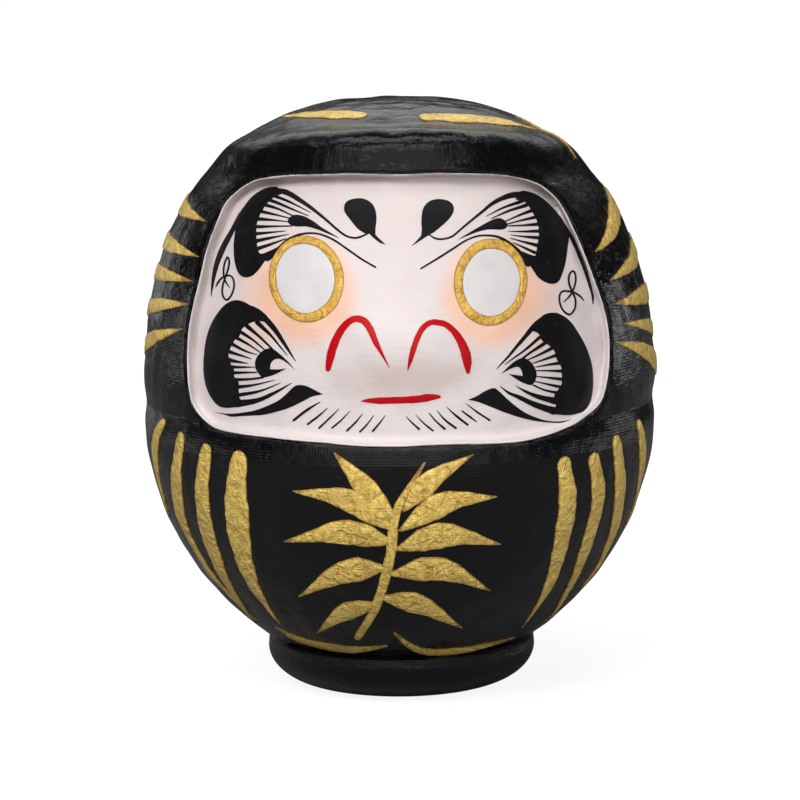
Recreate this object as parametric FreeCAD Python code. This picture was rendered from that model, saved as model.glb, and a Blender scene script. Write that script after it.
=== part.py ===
import FreeCAD, Part
import math
import os
from FreeCAD import Vector

# Papier-mache daruma doll. Millimetres, +Z up, face toward -Y, underside of the foot at z = 0.

HEIGHT = 180.0          # floor to crown
WAIST_Z = 85.3          # height of the widest ring
WAIST_R = 78.3
TOP_POWER = 2.46        # superellipse powers above and below the waist
LOW_POWER = 1.92
LOW_DEPTH = 82.5        # lower semi-axis
GROOVE_Z = 88.0         # shallow crease between hood and robe
GROOVE_DEEP = 0.9
GROOVE_WIDE = 4.0

WALL = 2.5              # pulp thickness
JOIN_Z = 15.2           # shell stands on the foot here
RECESS = 4.8            # depth of the painted face below the hull

ROLL_MAJOR = 44.5       # rolled brim of the hood above the face
ROLL_MINOR = 10.5
ROLL_Z = 156.2
ROLL_TILT = 7.5

NOSE_Z = 111.0
NOSE_Y = -66.0
NOSE_R = 9.5
NOSE_HALF = 16.0

COAT = 0.5              # ground coat of the face
INK = 0.4               # painted marks on the coat
GOLD = 0.5              # raised gold on the hull
RING = 0.7              # raised gold round the eyes

FOOT_R = 41.0
FOOT_BASE_R = 22.5
FOOT_CURVE_Z = 11.8
SPIGOT_R = 34.4
SPIGOT_TOP = 19.0
CAVITY_R = 31.0
CAVITY_FLOOR = 4.0
CARD_R = 18.0
CARD_THICK = 0.8
CARD_INSET = 0.3

STRIP_HALF = 9.0
STRIP_THICK = 0.6

EYE_X = 26.4
EYE_Z = 131.0
EYE_W = 11.2
EYE_H = 12.2
EYE_BAND = 2.5

# Right half of the face opening, from the middle of the brow to the middle of the chin.
FACE_SIDE = [(22, 161.2), (34, 160.2), (44, 156.6), (50.5, 150), (54.5, 140), (58.5, 127), (61.4, 114),
             (61.7, 103), (60, 94), (55, 88.6), (46, 86), (25, 85)]


# ---- hull ----------------------------------------------------------------------------------------

def hull_radius(z, skin=0.0):
    top = HEIGHT - WAIST_Z
    depth, power = (top, TOP_POWER) if z > WAIST_Z else (LOW_DEPTH, LOW_POWER)
    share = min(1.0, abs(z - WAIST_Z) / (depth - skin))
    groove = GROOVE_DEEP * math.exp(-((z - GROOVE_Z) / GROOVE_WIDE) ** 2) if skin < 0.75 * RECESS else 0.0
    return (WAIST_R - skin) * (1.0 - share ** power) ** (1.0 / power) - groove


def hull_height(r, skin=0.0):
    share = min(1.0, r / (WAIST_R - skin))
    return WAIST_Z + (HEIGHT - WAIST_Z - skin) * (1.0 - share ** TOP_POWER) ** (1.0 / TOP_POWER)


def revolve(edges):
    """Solid of revolution with its seam line at the back."""
    solid = Part.Face(Part.Wire(edges)).revolve(Vector(0, 0, 0), Vector(0, 0, 1), 360)
    solid.rotate(Vector(0, 0, 0), Vector(0, 0, 1), 90)
    return solid


def spline(points, closed=False):
    curve = Part.BSplineCurve()
    curve.interpolate([Vector(*p) for p in points], PeriodicFlag=closed)
    return curve.toShape()


def hull(skin):
    low = JOIN_Z - 1.2
    side = [(hull_radius(low + 4.0 * i, skin), 0, low + 4.0 * i) for i in range(37)]
    edge_r = side[-1][0]
    dome = [(edge_r * k / 8.0, 0, hull_height(edge_r * k / 8.0, skin)) for k in range(7, -1, -1)]
    outline = spline(side + dome)
    top = Vector(0, 0, dome[-1][2])
    foot = Vector(0, 0, low)
    return revolve([outline, Part.makeLine(top, foot), Part.makeLine(foot, Vector(*side[0]))])


def brow_roll(skin):
    ring = Part.makeTorus(ROLL_MAJOR, ROLL_MINOR - skin)
    ring.rotate(Vector(0, 0, 0), Vector(0, 0, 1), 90)
    ring.rotate(Vector(0, 0, 0), Vector(1, 0, 0), -ROLL_TILT)
    ring.translate(Vector(0, 0, ROLL_Z))
    return ring


def outer(skin):
    return hull(skin).fuse(brow_roll(skin))


# ---- face ----------------------------------------------------------------------------------------

def face_outline(grow=0.0):
    """Opening of the face, widened all round by grow."""
    loop = [(0, 161.4)] + FACE_SIDE + [(0, 84.8)] + [(-x, z) for x, z in reversed(FACE_SIDE)]
    points = []
    for i, (x, z) in enumerate(loop):
        before, after = loop[i - 1], loop[(i + 1) % len(loop)]
        dx, dz = after[0] - before[0], after[1] - before[1]
        size = math.hypot(dx, dz)
        points.append((x - dz / size * grow, 0, z + dx / size * grow))
    return Part.Face(Part.Wire([spline(points, closed=True)]))


def forward(face):
    moved = face.copy()
    moved.translate(Vector(0, -20, 0))
    return moved.extrude(Vector(0, -75, 0))


def nose(skin):
    radius = NOSE_R - skin
    half = NOSE_HALF - skin
    ends = [Vector(-half, NOSE_Y, NOSE_Z), Vector(half, NOSE_Y, NOSE_Z)]
    arc = [(-half * math.cos(math.radians(a)), NOSE_Y - radius * math.sin(math.radians(a)), NOSE_Z)
           for a in range(0, 181, 20)]
    face = Part.Face(Part.Wire([spline(arc), Part.makeLine(ends[1], ends[0])]))
    return face.revolve(ends[0], Vector(1, 0, 0), 360)


def ground(skin):
    return hull(RECESS + COAT + skin).fuse(nose(skin))


def form(skin):
    pocket = forward(face_outline(skin)).cut(ground(skin))
    return outer(skin).cut(pocket)


# ---- pulp shell ----------------------------------------------------------------------------------

def above_foot():
    return Part.makeBox(200, 200, 200, Vector(-100, -100, JOIN_Z))


def half_space(front):
    return Part.makeBox(200, 100, 200, Vector(-100, -100 if front else 0, 0))


def pulp_shell(front):
    """One half of the shell, cut from the whole form along the plane y = 0."""
    half = form(0).common(above_foot()).common(half_space(front))
    return half.cut(form(WALL))


def seam_strip():
    lining = form(WALL).cut(form(WALL + STRIP_THICK))
    start = JOIN_Z + 6.0
    band = Part.makeBox(200, 2 * STRIP_HALF, 200, Vector(-100, -STRIP_HALF, start))
    return lining.common(band)


# ---- foot ----------------------------------------------------------------------------------------

def foot_dish():
    curve = [(FOOT_R, 0, FOOT_CURVE_Z)]
    for a in (20, 40, 60, 75, 90):
        share = math.radians(a)
        r = FOOT_BASE_R + (FOOT_R - FOOT_BASE_R) * math.cos(share)
        curve.append((r, 0, FOOT_CURVE_Z * (1.0 - math.sin(share))))
    rim = [Vector(FOOT_R - 1.2, 0, JOIN_Z), Vector(FOOT_R - 0.2, 0, JOIN_Z - 0.9), Vector(*curve[0])]
    inner = [Vector(SPIGOT_R, 0, JOIN_Z), Vector(SPIGOT_R, 0, SPIGOT_TOP), Vector(CAVITY_R, 0, SPIGOT_TOP),
             Vector(CAVITY_R, 0, CAVITY_FLOOR), Vector(0, 0, CAVITY_FLOOR), Vector(0, 0, CARD_INSET + CARD_THICK),
             Vector(CARD_R, 0, CARD_INSET + CARD_THICK), Vector(CARD_R, 0, 0), Vector(*curve[-1])]
    edges = [Part.makeLine(rim[0], rim[1]), Part.makeLine(rim[1], rim[2]), spline(curve)]
    edges.append(Part.makeLine(inner[-1], inner[-2]))
    edges += [Part.makeLine(inner[i], inner[i - 1]) for i in range(len(inner) - 2, 0, -1)]
    edges.append(Part.makeLine(inner[0], rim[0]))
    return revolve(edges)


def clay_weight():
    crown = Part.Arc(Vector(0, 0, 17.0), Vector(CAVITY_R * 0.55, 0, 15.8), Vector(CAVITY_R, 0, 12.5)).toShape()
    floor = Vector(CAVITY_R, 0, CAVITY_FLOOR)
    middle = Vector(0, 0, CAVITY_FLOOR)
    return revolve([crown, Part.makeLine(Vector(CAVITY_R, 0, 12.5), floor), Part.makeLine(floor, middle),
                    Part.makeLine(middle, Vector(0, 0, 17.0))])


def base_card():
    return Part.makeCylinder(CARD_R, CARD_THICK, Vector(0, 0, CARD_INSET))


# ---- flat mark shapes, drawn in the XZ plane -------------------------------------------------------

def leaf(side_a, side_b):
    a = spline([(x, 0, z) for x, z in side_a])
    b = spline([(x, 0, z) for x, z in side_b])
    return Part.Face(Part.Wire([a, b]))


def stroke(path, halves):
    """Brush stroke: points along the middle and the half-width at each of them."""
    sides = ([], [])
    for i, (x, z) in enumerate(path):
        before = path[max(i - 1, 0)]
        after = path[min(i + 1, len(path) - 1)]
        dx, dz = after[0] - before[0], after[1] - before[1]
        size = math.hypot(dx, dz)
        for sign, side in ((1, sides[0]), (-1, sides[1])):
            side.append((x - sign * dz / size * halves[i], 0, z + sign * dx / size * halves[i]))
    edges = [spline(sides[0]), spline(sides[1])]
    for end in (0, -1):
        if halves[end] > 0:
            edges.append(Part.makeLine(Vector(*sides[0][end]), Vector(*sides[1][end])))
    return Part.Face(Part.Wire(Part.__sortEdges__(edges)))


def oval(x, z, half_x, half_z):
    tall = half_z > half_x
    major, minor = (half_z, half_x) if tall else (half_x, half_z)
    loop = Part.Ellipse(Vector(0, 0, 0), major, minor).toShape()
    if tall:
        loop.rotate(Vector(0, 0, 0), Vector(0, 0, 1), 90)
    loop.rotate(Vector(0, 0, 0), Vector(1, 0, 0), 90)
    loop.translate(Vector(x, 0, z))
    return Part.Face(Part.Wire([loop]))


def ring(x, z, half_x, half_z, band):
    """Oval ring as two half rings."""
    halves = []
    for start in (90, 270):
        arcs = []
        for inset in (0, band):
            angles = [math.radians(start + a) for a in range(0, 181, 30)]
            arcs.append([(x + (half_x - inset) * math.cos(a), 0, z + (half_z - inset) * math.sin(a)) for a in angles])
        ends = [Part.makeLine(Vector(*arcs[0][i]), Vector(*arcs[1][i])) for i in (0, -1)]
        halves.append(Part.Face(Part.Wire([spline(arcs[0]), ends[1], spline(arcs[1]), ends[0]])))
    return halves


def blend(start, end, t):
    return (start[0] + (end[0] - start[0]) * t, start[1] + (end[1] - start[1]) * t)


def fan(root_a, root_b, tip_a, tip_b, count, half):
    """Row of tapering hairs from one line of roots to one line of tips."""
    hairs = []
    for i in range(count):
        t = i / (count - 1.0)
        root, tip = blend(root_a, root_b, t), blend(tip_a, tip_b, t)
        hairs.append(stroke([root, blend(root, tip, 0.5), tip], [half, half * 0.7, 0]))
    return hairs


def to_left(faces, turn=0.0, pivot=(0, 0), shift=(0, 0)):
    """Mirror the marks of the doll's right side to its left side."""
    moved = []
    for face in faces:
        twin = face.mirror(Vector(0, 0, 0), Vector(1, 0, 0))
        twin.rotate(Vector(pivot[0], 0, pivot[1]), Vector(0, 1, 0), turn)
        twin.translate(Vector(shift[0], 0, shift[1]))
        moved.append(twin)
    return moved


def lay(solids, layer):
    """Fuse the prisms and keep the part of them that lies in the layer."""
    whole = solids[0] if len(solids) == 1 else solids[0].multiFuse(solids[1:])
    return whole.common(layer)


def on_face(faces, layer):
    return lay([forward(face) for face in faces], layer)


# ---- marks on the face ---------------------------------------------------------------------------

def brow_marks():
    crescent = leaf([(-36, 156), (-44.5, 151.8), (-47.8, 144), (-47.8, 134.5), (-44, 131)],
                    [(-36, 156), (-40, 150.5), (-41.2, 144), (-40.6, 137), (-44, 131)])
    lid = stroke([(-43, 133), (-37, 137.6), (-31, 143.2), (-23, 143), (-14.5, 138.8), (-6.5, 135)],
                 [2.2, 1.8, 0.9, 1.0, 0.7, 0.2])
    upper = stroke([(-41, 152), (-29, 153.4), (-19, 146.6), (-11, 142.6), (-3.8, 141)], [2.0, 0.8, 0.8, 0.9, 0.3])
    drop = leaf([(-11.5, 154), (-6.4, 151.5), (-6.8, 145.5), (-5.5, 141.5)],
                [(-11.5, 154), (-15.8, 151), (-12.5, 146.5), (-5.5, 141.5)])
    speck = leaf([(-30, 148.8), (-24.5, 146.6), (-17, 142.8)], [(-30, 148.8), (-28.6, 145.6), (-17, 142.8)])
    hairs = fan((-42, 152), (-41, 137), (-32, 152.6), (-33, 141.8), 9, 0.65)
    return [crescent, lid, upper, drop, speck] + hairs


def side_lock():
    return stroke([(-47.6, 144), (-51.6, 138.5), (-54, 131.5), (-54.8, 124.5)], [0.3, 1.3, 1.1, 0])


def whisker_marks():
    body = leaf([(-45, 124.2), (-53.6, 118.4), (-57.4, 108), (-56, 96.5), (-50, 92.8), (-40, 95.6), (-31, 101.5)],
                [(-45, 124.2), (-48, 116.5), (-47.6, 107.5), (-44.5, 101.5), (-38.5, 99.8), (-31, 101.5)])
    upper = stroke([(-46, 122.4), (-41, 121.2), (-37.2, 118.2), (-33, 112.6), (-30, 107.6)],
                   [1.4, 0.8, 0.6, 0.5, 0])
    eye = ring(-38, 107, 3.9, 3.9, 1.9)
    tail = stroke([(-35, 105.2), (-32.6, 104.8), (-29.6, 105.6)], [0.8, 0.5, 0])
    blade = leaf([(-54, 91), (-47.8, 90.4), (-39.4, 91.8), (-31.9, 94.4), (-22, 99)],
                 [(-54, 91), (-46.5, 92), (-36, 95.4), (-29.5, 98.2), (-22, 99)])
    hairs = fan((-48.6, 119), (-46, 102.5), (-37, 117.4), (-39, 103), 9, 0.6)
    return [body, upper, tail, blade] + eye + hairs


def chin_marks():
    right = [((-22.9, 96.8), (-30.7, 91)), ((-20.4, 95.4), (-26.6, 90)), ((-17.4, 95), (-23.3, 89.4)),
             ((-14.1, 94.4), (-19.2, 89.2)), ((-10.8, 93.8), (-15.2, 88.7)), ((-7.5, 93.3), (-11.3, 88.5)),
             ((-4.2, 93.2), (-7.7, 88.5))]
    left = [(x * -1 - 2.2, z) for x, z in [pair[0] for pair in right]]
    left_tips = [(x * -1 - 3.0, z) for x, z in [pair[1] for pair in right]]
    marks = []
    for root, tip in right + list(zip(left, left_tips)):
        marks.append(stroke([root, blend(root, tip, 0.45), tip], [0.2, 0.6, 0]))
    return marks


def nose_marks():
    right = stroke([(-20.2, 105.6), (-18.9, 114.5), (-14.8, 120.6), (-10.6, 120.9), (-6.4, 113), (-2.6, 107.2)],
                   [1.4, 1.3, 1.0, 0.9, 0.9, 0.5])
    left = stroke([(2.4, 106.4), (3.6, 113.6), (7, 118.5), (12, 119.4), (17, 115.4), (20, 105)],
                  [0.5, 0.8, 0.9, 1.0, 1.2, 1.3])
    return [right, left]


def mouth_mark():
    return [stroke([(-11.2, 97.4), (-4, 98.2), (4, 97.8), (11.8, 98.4)], [0.5, 1.1, 1.1, 0.5])]


def ear_marks():
    return ring(-49.8, 133, 1.9, 2.7, 0.7) + ring(-50.6, 127.4, 2.3, 3.1, 0.7)


def eye_white(side):
    return [oval(side * EYE_X, EYE_Z, EYE_W - EYE_BAND, EYE_H - EYE_BAND)]


def eye_ring(side):
    return ring(side * EYE_X, EYE_Z, EYE_W, EYE_H, EYE_BAND)


# ---- gold on the hull ----------------------------------------------------------------------------

def round_side(azimuth, path, halves):
    """Stroke given as (azimuth, height) pairs, pushed outward along one direction."""
    flat = [(hull_radius(z) * math.sin(math.radians(a - azimuth)), z) for a, z in path]
    face = stroke(flat, halves)
    face.translate(Vector(0, -12, 0))
    solid = face.extrude(Vector(0, -85, 0))
    solid.rotate(Vector(0, 0, 0), Vector(0, 0, 1), azimuth)
    return solid


def robe_strokes(side):
    lines = [(41, [(37, 79), (40, 64), (42.5, 48), (44.5, 35), (46, 25)], [2.2, 4.2, 3.6, 2.4, 0.3]),
             (53, [(47, 79), (51, 64), (54, 47), (57, 34), (61, 24)], [2.0, 3.2, 3.0, 2.2, 0.3]),
             (63, [(56, 81), (60, 68), (65, 50), (65, 36), (64, 25)], [2.0, 3.0, 2.8, 2.2, 0.3]),
             (75, [(66, 83), (72, 73), (76, 58), (77, 46), (76, 34)], [2.0, 3.0, 3.0, 2.2, 0.3])]
    return [round_side(side * a, [(side * p, z) for p, z in path], halves) for a, path, halves in lines]


def hood_strokes(side):
    lines = [(78, [(57, 143), (70, 145.5), (84, 148), (97, 149)], [0, 1.5, 2.8, 2.4]),
             (77, [(56, 133.5), (70, 135.5), (84, 137.5), (98, 138)], [0, 1.5, 2.8, 2.4]),
             (77, [(57, 127), (70, 127.2), (84, 127.6), (98, 127)], [0, 1.6, 3.0, 2.4]),
             (77, [(56, 120), (70, 118.4), (84, 116.6), (98, 115)], [0, 1.5, 2.8, 2.4]),
             (77, [(57, 112.5), (70, 109), (84, 105), (98, 102)], [0, 1.6, 3.2, 2.6])]
    return [round_side(side * a, [(side * p, z) for p, z in path], halves) for a, path, halves in lines]


def crown_strokes():
    paths = [([(-10.5, -27.5), (-18, -23), (-27, -15), (-35, -4)], [2.4, 3.0, 2.2, 0.3]),
             ([(8.5, -30), (20, -26.5), (31, -20.5), (42, -11)], [2.4, 3.0, 2.6, 0.3]),
             ([(36, -3), (46, -8), (53, -15)], [0.3, 1.4, 0.3])]
    solids = []
    for path, halves in paths:
        face = stroke(path, halves)
        face.rotate(Vector(0, 0, 0), Vector(1, 0, 0), -90)
        face.translate(Vector(0, 0, 150))
        solids.append(face.extrude(Vector(0, 0, 50)))
    return solids


def belly_spray():
    """Brushed spray of long leaves on a bent stem."""
    stem = stroke([(-13, 23), (-7, 36), (-3, 52), (-1, 66), (7, 80)], [1.1, 1.4, 1.5, 1.3, 0.3])
    leaves = [((-2, 60), (-15, 69), (-31, 71), 3.6), ((-2, 56), (-17, 59), (-34, 55), 3.9),
              ((-4, 48), (-17, 46), (-30, 37), 3.8), ((-1, 62), (-11, 74), (-19, 83), 3.2),
              ((0, 60), (13, 68), (28, 69), 3.6), ((-1, 54), (13, 58), (29, 54), 4.0),
              ((-3, 46), (12, 47), (26, 39), 3.9), ((-6, 38), (6, 35), (18, 26), 3.4),
              ((1, 66), (9, 75), (21, 82), 3.2), ((-7, 36), (-17, 32), (-25, 24), 3.0)]
    return [stem] + [stroke([root, middle, tip], [0.4, wide, 0]) for root, middle, tip, wide in leaves]


def hem_strokes():
    return [stroke([(-38, 23.5), (-28.5, 19.6), (-19, 18.2), (-6, 19.6)], [0.2, 1.2, 1.5, 0.2]),
            stroke([(-2.5, 24), (3, 19.6), (12, 17.8), (22, 17.8), (34, 20)], [0.3, 1.2, 1.3, 1.2, 0.2])]


# ---- write ---------------------------------------------------------------------------------------

def main():
    os.makedirs("parts", exist_ok=True)
    coat_solid = ground(-COAT)
    coat = coat_solid.cut(ground(0))
    ink = ground(-COAT - INK).cut(coat_solid)
    ring_layer = ground(-COAT - RING).cut(coat_solid)
    gold = outer(-GOLD).cut(outer(0))
    brow, whisker = brow_marks(), whisker_marks()
    nodes = {
        "front_shell": pulp_shell(True),
        "rear_shell": pulp_shell(False),
        "seam_strip": seam_strip(),
        "foot_dish": foot_dish(),
        "clay_weight": clay_weight(),
        "base_card": base_card(),
        "face_coat": forward(face_outline()).common(coat),
        "right_eye_white": on_face(eye_white(-1), ink),
        "left_eye_white": on_face(eye_white(1), ink),
        "right_eye_ring": on_face(eye_ring(-1), ring_layer),
        "left_eye_ring": on_face(eye_ring(1), ring_layer),
        "right_brow": on_face(brow + [side_lock()], ink),
        "left_brow": on_face(to_left(brow, turn=3, pivot=(7, 139)) + to_left([side_lock()], shift=(0.6, -4)), ink),
        "right_whisker": on_face(whisker, ink),
        "left_whisker": on_face(to_left(whisker, shift=(-1.2, -3)), ink),
        "chin_whiskers": on_face(chin_marks(), ink),
        "nose_strokes": on_face(nose_marks(), ink),
        "mouth_stroke": on_face(mouth_mark(), ink),
        "ear_curls": on_face(ear_marks() + to_left(ear_marks(), shift=(0.2, -5)), ink),
        "right_hood_lines": lay(hood_strokes(-1), gold),
        "left_hood_lines": lay(hood_strokes(1), gold),
        "crown_lines": lay(crown_strokes(), gold),
        "right_robe_lines": lay(robe_strokes(-1), gold),
        "left_robe_lines": lay(robe_strokes(1), gold),
        "belly_ornament": on_face(belly_spray(), gold),
        "hem_lines": on_face(hem_strokes(), gold),
    }
    for name, shape in nodes.items():
        shape.exportStep("parts/%s.step" % name)


main()
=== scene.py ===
import math

import bmesh
import bpy
import numpy as np
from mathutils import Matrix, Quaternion, Vector
from mathutils.geometry import delaunay_2d_cdt


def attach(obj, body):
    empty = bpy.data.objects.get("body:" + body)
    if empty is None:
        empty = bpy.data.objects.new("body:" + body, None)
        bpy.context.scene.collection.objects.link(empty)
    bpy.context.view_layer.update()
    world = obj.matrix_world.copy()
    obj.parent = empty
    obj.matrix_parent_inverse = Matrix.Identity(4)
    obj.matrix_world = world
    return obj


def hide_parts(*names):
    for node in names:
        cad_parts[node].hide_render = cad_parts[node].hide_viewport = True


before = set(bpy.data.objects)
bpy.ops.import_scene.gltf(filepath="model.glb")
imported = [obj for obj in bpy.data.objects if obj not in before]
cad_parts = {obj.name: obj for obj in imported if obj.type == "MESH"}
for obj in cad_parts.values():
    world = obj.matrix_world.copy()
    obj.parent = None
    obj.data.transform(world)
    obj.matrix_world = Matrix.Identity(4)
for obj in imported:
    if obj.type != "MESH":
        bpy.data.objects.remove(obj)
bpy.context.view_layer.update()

# Everything below is worked out in millimetres and scaled once, when a mesh is made.
MM = 0.001
HEIGHT, WAIST_Z, WAIST_R = 180.0, 85.3, 78.3
TOP_POWER, LOW_POWER, LOW_DEPTH = 2.46, 1.92, 82.5
JOIN_Z, WALL = 15.2, 2.5
RECESS = 4.8
# The crease between hood and robe, and the slight sink of the shoulder below it: height, depth and width.
CREASE_Z, CREASE_DEEP, CREASE_WIDE = 88.5, 1.0, 4.2
SHOULDER_Z, SHOULDER_DEEP, SHOULDER_WIDE = 79.5, 0.1, 6.0
NOSE_Y, NOSE_Z = -66.5, 111.5
NOSE_HALF_X, NOSE_HALF_Y, NOSE_HALF_Z = 15.0, 9.0, 11.0
# Grid that the skin is meshed on, and how far the skin keeps below the face's white coat.
SKIN_LOW, SKIN_HIGH, SKIN_STEP = (-83, -83, 8), (83, 83, 184), 1.4
UNDER_COAT = 1.4
ROLL_MAJOR, ROLL_MINOR, ROLL_RISE, ROLL_POWER = 44.5, 10.5, 12.0, 2.8
ROLL_Z, ROLL_TILT = 156.2, math.radians(7.5)

# Face opening as (x, z), clockwise from the middle of the brow.
FACE_EDGE = [(0, 161), (14, 161.2), (30, 160), (39.5, 157.6), (45, 154), (48.5, 149.6), (52.2, 142),
             (55.2, 135),
             (58, 127.3), (60.4, 120), (61.7, 112.5), (61.8, 105), (60.8, 98), (58.6, 92.6), (53, 88.7),
                 (46, 86.4),
             (37, 84.9), (28, 84.6), (14, 85.1), (0, 84.8), (-12, 84.9), (-23, 85.6), (-42, 86.3),
                 (-52.6, 86.9),
             (-57, 88.8), (-60.2, 92), (-61.8, 96.5), (-62.4, 104), (-62, 113.5), (-60.5, 121.8),
                 (-58.6, 129.3),
             (-56.4, 138), (-53.4, 146.2), (-50.4, 152), (-44.4, 157), (-38.7, 159.3), (-31, 160.4),
                 (-14, 161.3)]

EYES = {"right": ((-26.6, 131.5), (10.9, 12.0), (-26.9, 131.7), (8.5, 9.6)),
        "left": ((26.5, 130.2), (10.7, 12.1), (26.7, 130.2), (8.3, 9.4))}

# Painted marks of the face as (x, z) on the front plane. Fills are smooth segments that meet in corners.
# The lists ending in _b are strokes, each as (points, half widths). The points were read off the
# photograph and turned into millimetres by a helper program, and there are more than the shapes need.
R_lobe = [[(-33.8, 154.5), (-35.4, 156.3), (-39.3, 155.4), (-42.7, 153.2), (-44.9, 150.6), (-47.2, 147.3),
          (-47.8, 143.1), (-48.1, 139.5), (-47.9, 135.7), (-47, 132.6), (-45.8, 131.3), (-44.3, 131),
          (-42.4, 131.7), (-40.5, 133.5), (-38.6, 136), (-36.5, 137.9), (-34.3, 140.3)], [(-34.3, 140.3),
          (-39.6, 137.9), (-40.8, 139.2), (-41.2, 141.3), (-41.3, 143.3), (-41.3, 145.2), (-40.8, 147.3),
          (-39.8, 149.4), (-38.5, 151.3), (-37.2, 152.7), (-35.7, 153.8), (-33.8, 154.5)]]
R_drop = [[(-9.7, 144.5), (-11.8, 145.9), (-14, 148.5), (-15.4, 150.4), (-15.3, 152.3), (-13.9, 153.5),
          (-11.1, 154), (-9, 153.6), (-7.3, 152.4), (-6.4, 150.5), (-6.2, 148.1), (-6.5, 145.7),
          (-6.5, 144.1)], [(-6.5, 144.1), (-5.1, 142.8), (-3.6, 141.5)], [(-3.6, 141.5), (-5.3, 142),
          (-7, 143.2), (-8.3, 144.4)], [(-8.3, 144.4), (-9.7, 144.5)]]
R_speck = [[(-16.7, 143), (-19, 144.3), (-21.8, 145.8), (-24.6, 147.6), (-27.3, 148.8), (-29.7, 149.1),
           (-31.4, 148.3), (-32, 147.2), (-31.2, 146.3), (-29.3, 145.9), (-26.5, 146), (-23.5, 145.4),
           (-20.1, 144.2), (-16.7, 143)]]
L_lobe = [[(34.3, 152.4), (36.1, 154.5), (39.6, 153.7), (42.6, 151.9), (45.7, 149), (48.3, 145.8),
          (50.2, 142.4), (49.6, 138), (49, 134.5), (47.9, 131.3), (46.8, 129.2), (45.2, 128.4),
          (42.9, 128.9), (40.6, 130.5), (39.1, 132.6), (37.3, 135.2), (35, 137.7), (33.5, 139.2)],
          [(33.5, 139.2), (39.2, 136.8), (40, 137.6), (40.5, 139.6), (40.9, 141.5), (41, 143.3),
          (40.8, 145.3), (40, 147.3), (39, 149.1), (37.9, 150.7), (36.6, 151.8), (34.3, 152.4)]]
L_drop = [[(10.5, 144.7), (12.7, 146.4), (14.9, 148.3), (16.1, 150.2), (15.9, 151.9), (14.4, 153.1),
          (11.6, 153.6), (9.2, 153.1), (7.6, 151.7), (6.9, 149.7), (6.7, 147.2), (6.8, 145.5),
          (6.6, 143.8)], [(6.6, 143.8), (5.3, 142.4), (3.7, 140.9)], [(3.7, 140.9), (5.7, 142),
          (7.5, 143.1), (8.9, 143.9)], [(8.9, 143.9), (10.5, 144.7)]]
L_speck = [[(17, 142.4), (20.1, 144), (23.1, 145.5), (26.1, 146.9), (28.4, 147.7), (29.9, 147.6),
           (31.2, 146.8), (31.7, 145.7), (31, 144.8), (29.4, 144.6), (26.1, 144.8), (23.1, 144.3),
           (20.1, 143.4), (17, 142.4)]]
R_whisk = [[(-40.6, 121.7), (-44.4, 123.9), (-47.5, 124.3), (-50.4, 122.9), (-52.9, 120.1),
           (-55.1, 116.3), (-56.5, 112.1), (-57.2, 107.6), (-57.4, 103.4), (-57, 99.8), (-55.9, 96.6),
           (-53.9, 93.9), (-51.7, 92.9), (-48.6, 93.3), (-45.2, 94.2), (-42.1, 95.4)], [(-42.1, 95.4),
           (-46.1, 95.9), (-46.7, 98.2), (-46.7, 100.8), (-48, 102.5), (-48.1, 104.6), (-48.9, 105.9),
           (-49.7, 108.4), (-49, 110.7), (-47.8, 112.9), (-46.3, 114.3), (-45.5, 116.4), (-43.2, 118.2),
           (-40.6, 119), (-37.9, 118.9)], [(-37.9, 118.9), (-38.3, 120.1), (-40.6, 121.7)]]
R_comma = [[(-29.9, 105.8), (-31.9, 107.9), (-34.1, 109.8), (-36.6, 111.4), (-38.6, 111.1),
           (-40.5, 109.6), (-41.6, 107.6), (-41.6, 105.6), (-40.7, 104), (-39.4, 103), (-37.1, 103.6),
           (-34.9, 104.6), (-32.5, 106.1)], [(-32.5, 106.1), (-34.9, 105.6), (-37.3, 105.5)],
           [(-37.3, 105.5), (-37.1, 107.1), (-36, 108.3), (-34.3, 108.6), (-32.3, 107.6), (-29.9, 105.8)]]
R_blade = [[(-54.2, 91.2), (-51.7, 91), (-49, 90.6), (-45.9, 91.1), (-42.5, 91.6), (-39.4, 92.1),
           (-35.7, 93.3), (-31.9, 94.7), (-28.2, 96.6), (-25.2, 98.3), (-22, 99.1)], [(-22, 99.1),
           (-24.4, 100.3), (-26.7, 101.3), (-28.9, 101.5), (-30.4, 100.9), (-32.3, 99), (-34.9, 96.7),
           (-38.3, 94.8), (-42.1, 93.1), (-45.9, 92.1), (-50.2, 91.3), (-54.2, 91.2)]]
L_whisk = [[(39.4, 118), (42.1, 120), (44.6, 120.3), (46.7, 119.7), (49.8, 117.4), (52.5, 113.4),
           (54.8, 109), (56.4, 104), (56.8, 99.4), (56.5, 95.4), (55.7, 92.5), (54.1, 90.5), (50.6, 90),
           (46.3, 90.7), (42.9, 91.7)], [(42.9, 91.7), (45.3, 93.1), (44.9, 96.4), (46.1, 98.1),
           (47.1, 99.7), (47.2, 102.3), (47, 104.5), (45.7, 106.9), (45.1, 109.2), (43.4, 111.1),
           (41.3, 112.8), (40.2, 114.9), (37.5, 116)], [(37.5, 116), (39.4, 118)]]
L_comma = [[(29.4, 104.3), (31.5, 106.2), (33.6, 107.7), (35.6, 108.3), (37.5, 107.4), (39, 105.5),
           (39.7, 103.4), (39.4, 101.6), (38.1, 100.2), (35.6, 101.1), (33.6, 102.4), (31.5, 104)],
           [(31.5, 104), (33.4, 103.6), (35.6, 103.1)], [(35.6, 103.1), (35.4, 104.3), (34.7, 105.5),
           (33.6, 105.9), (31.9, 105.4), (29.4, 104.3)]]
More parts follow.
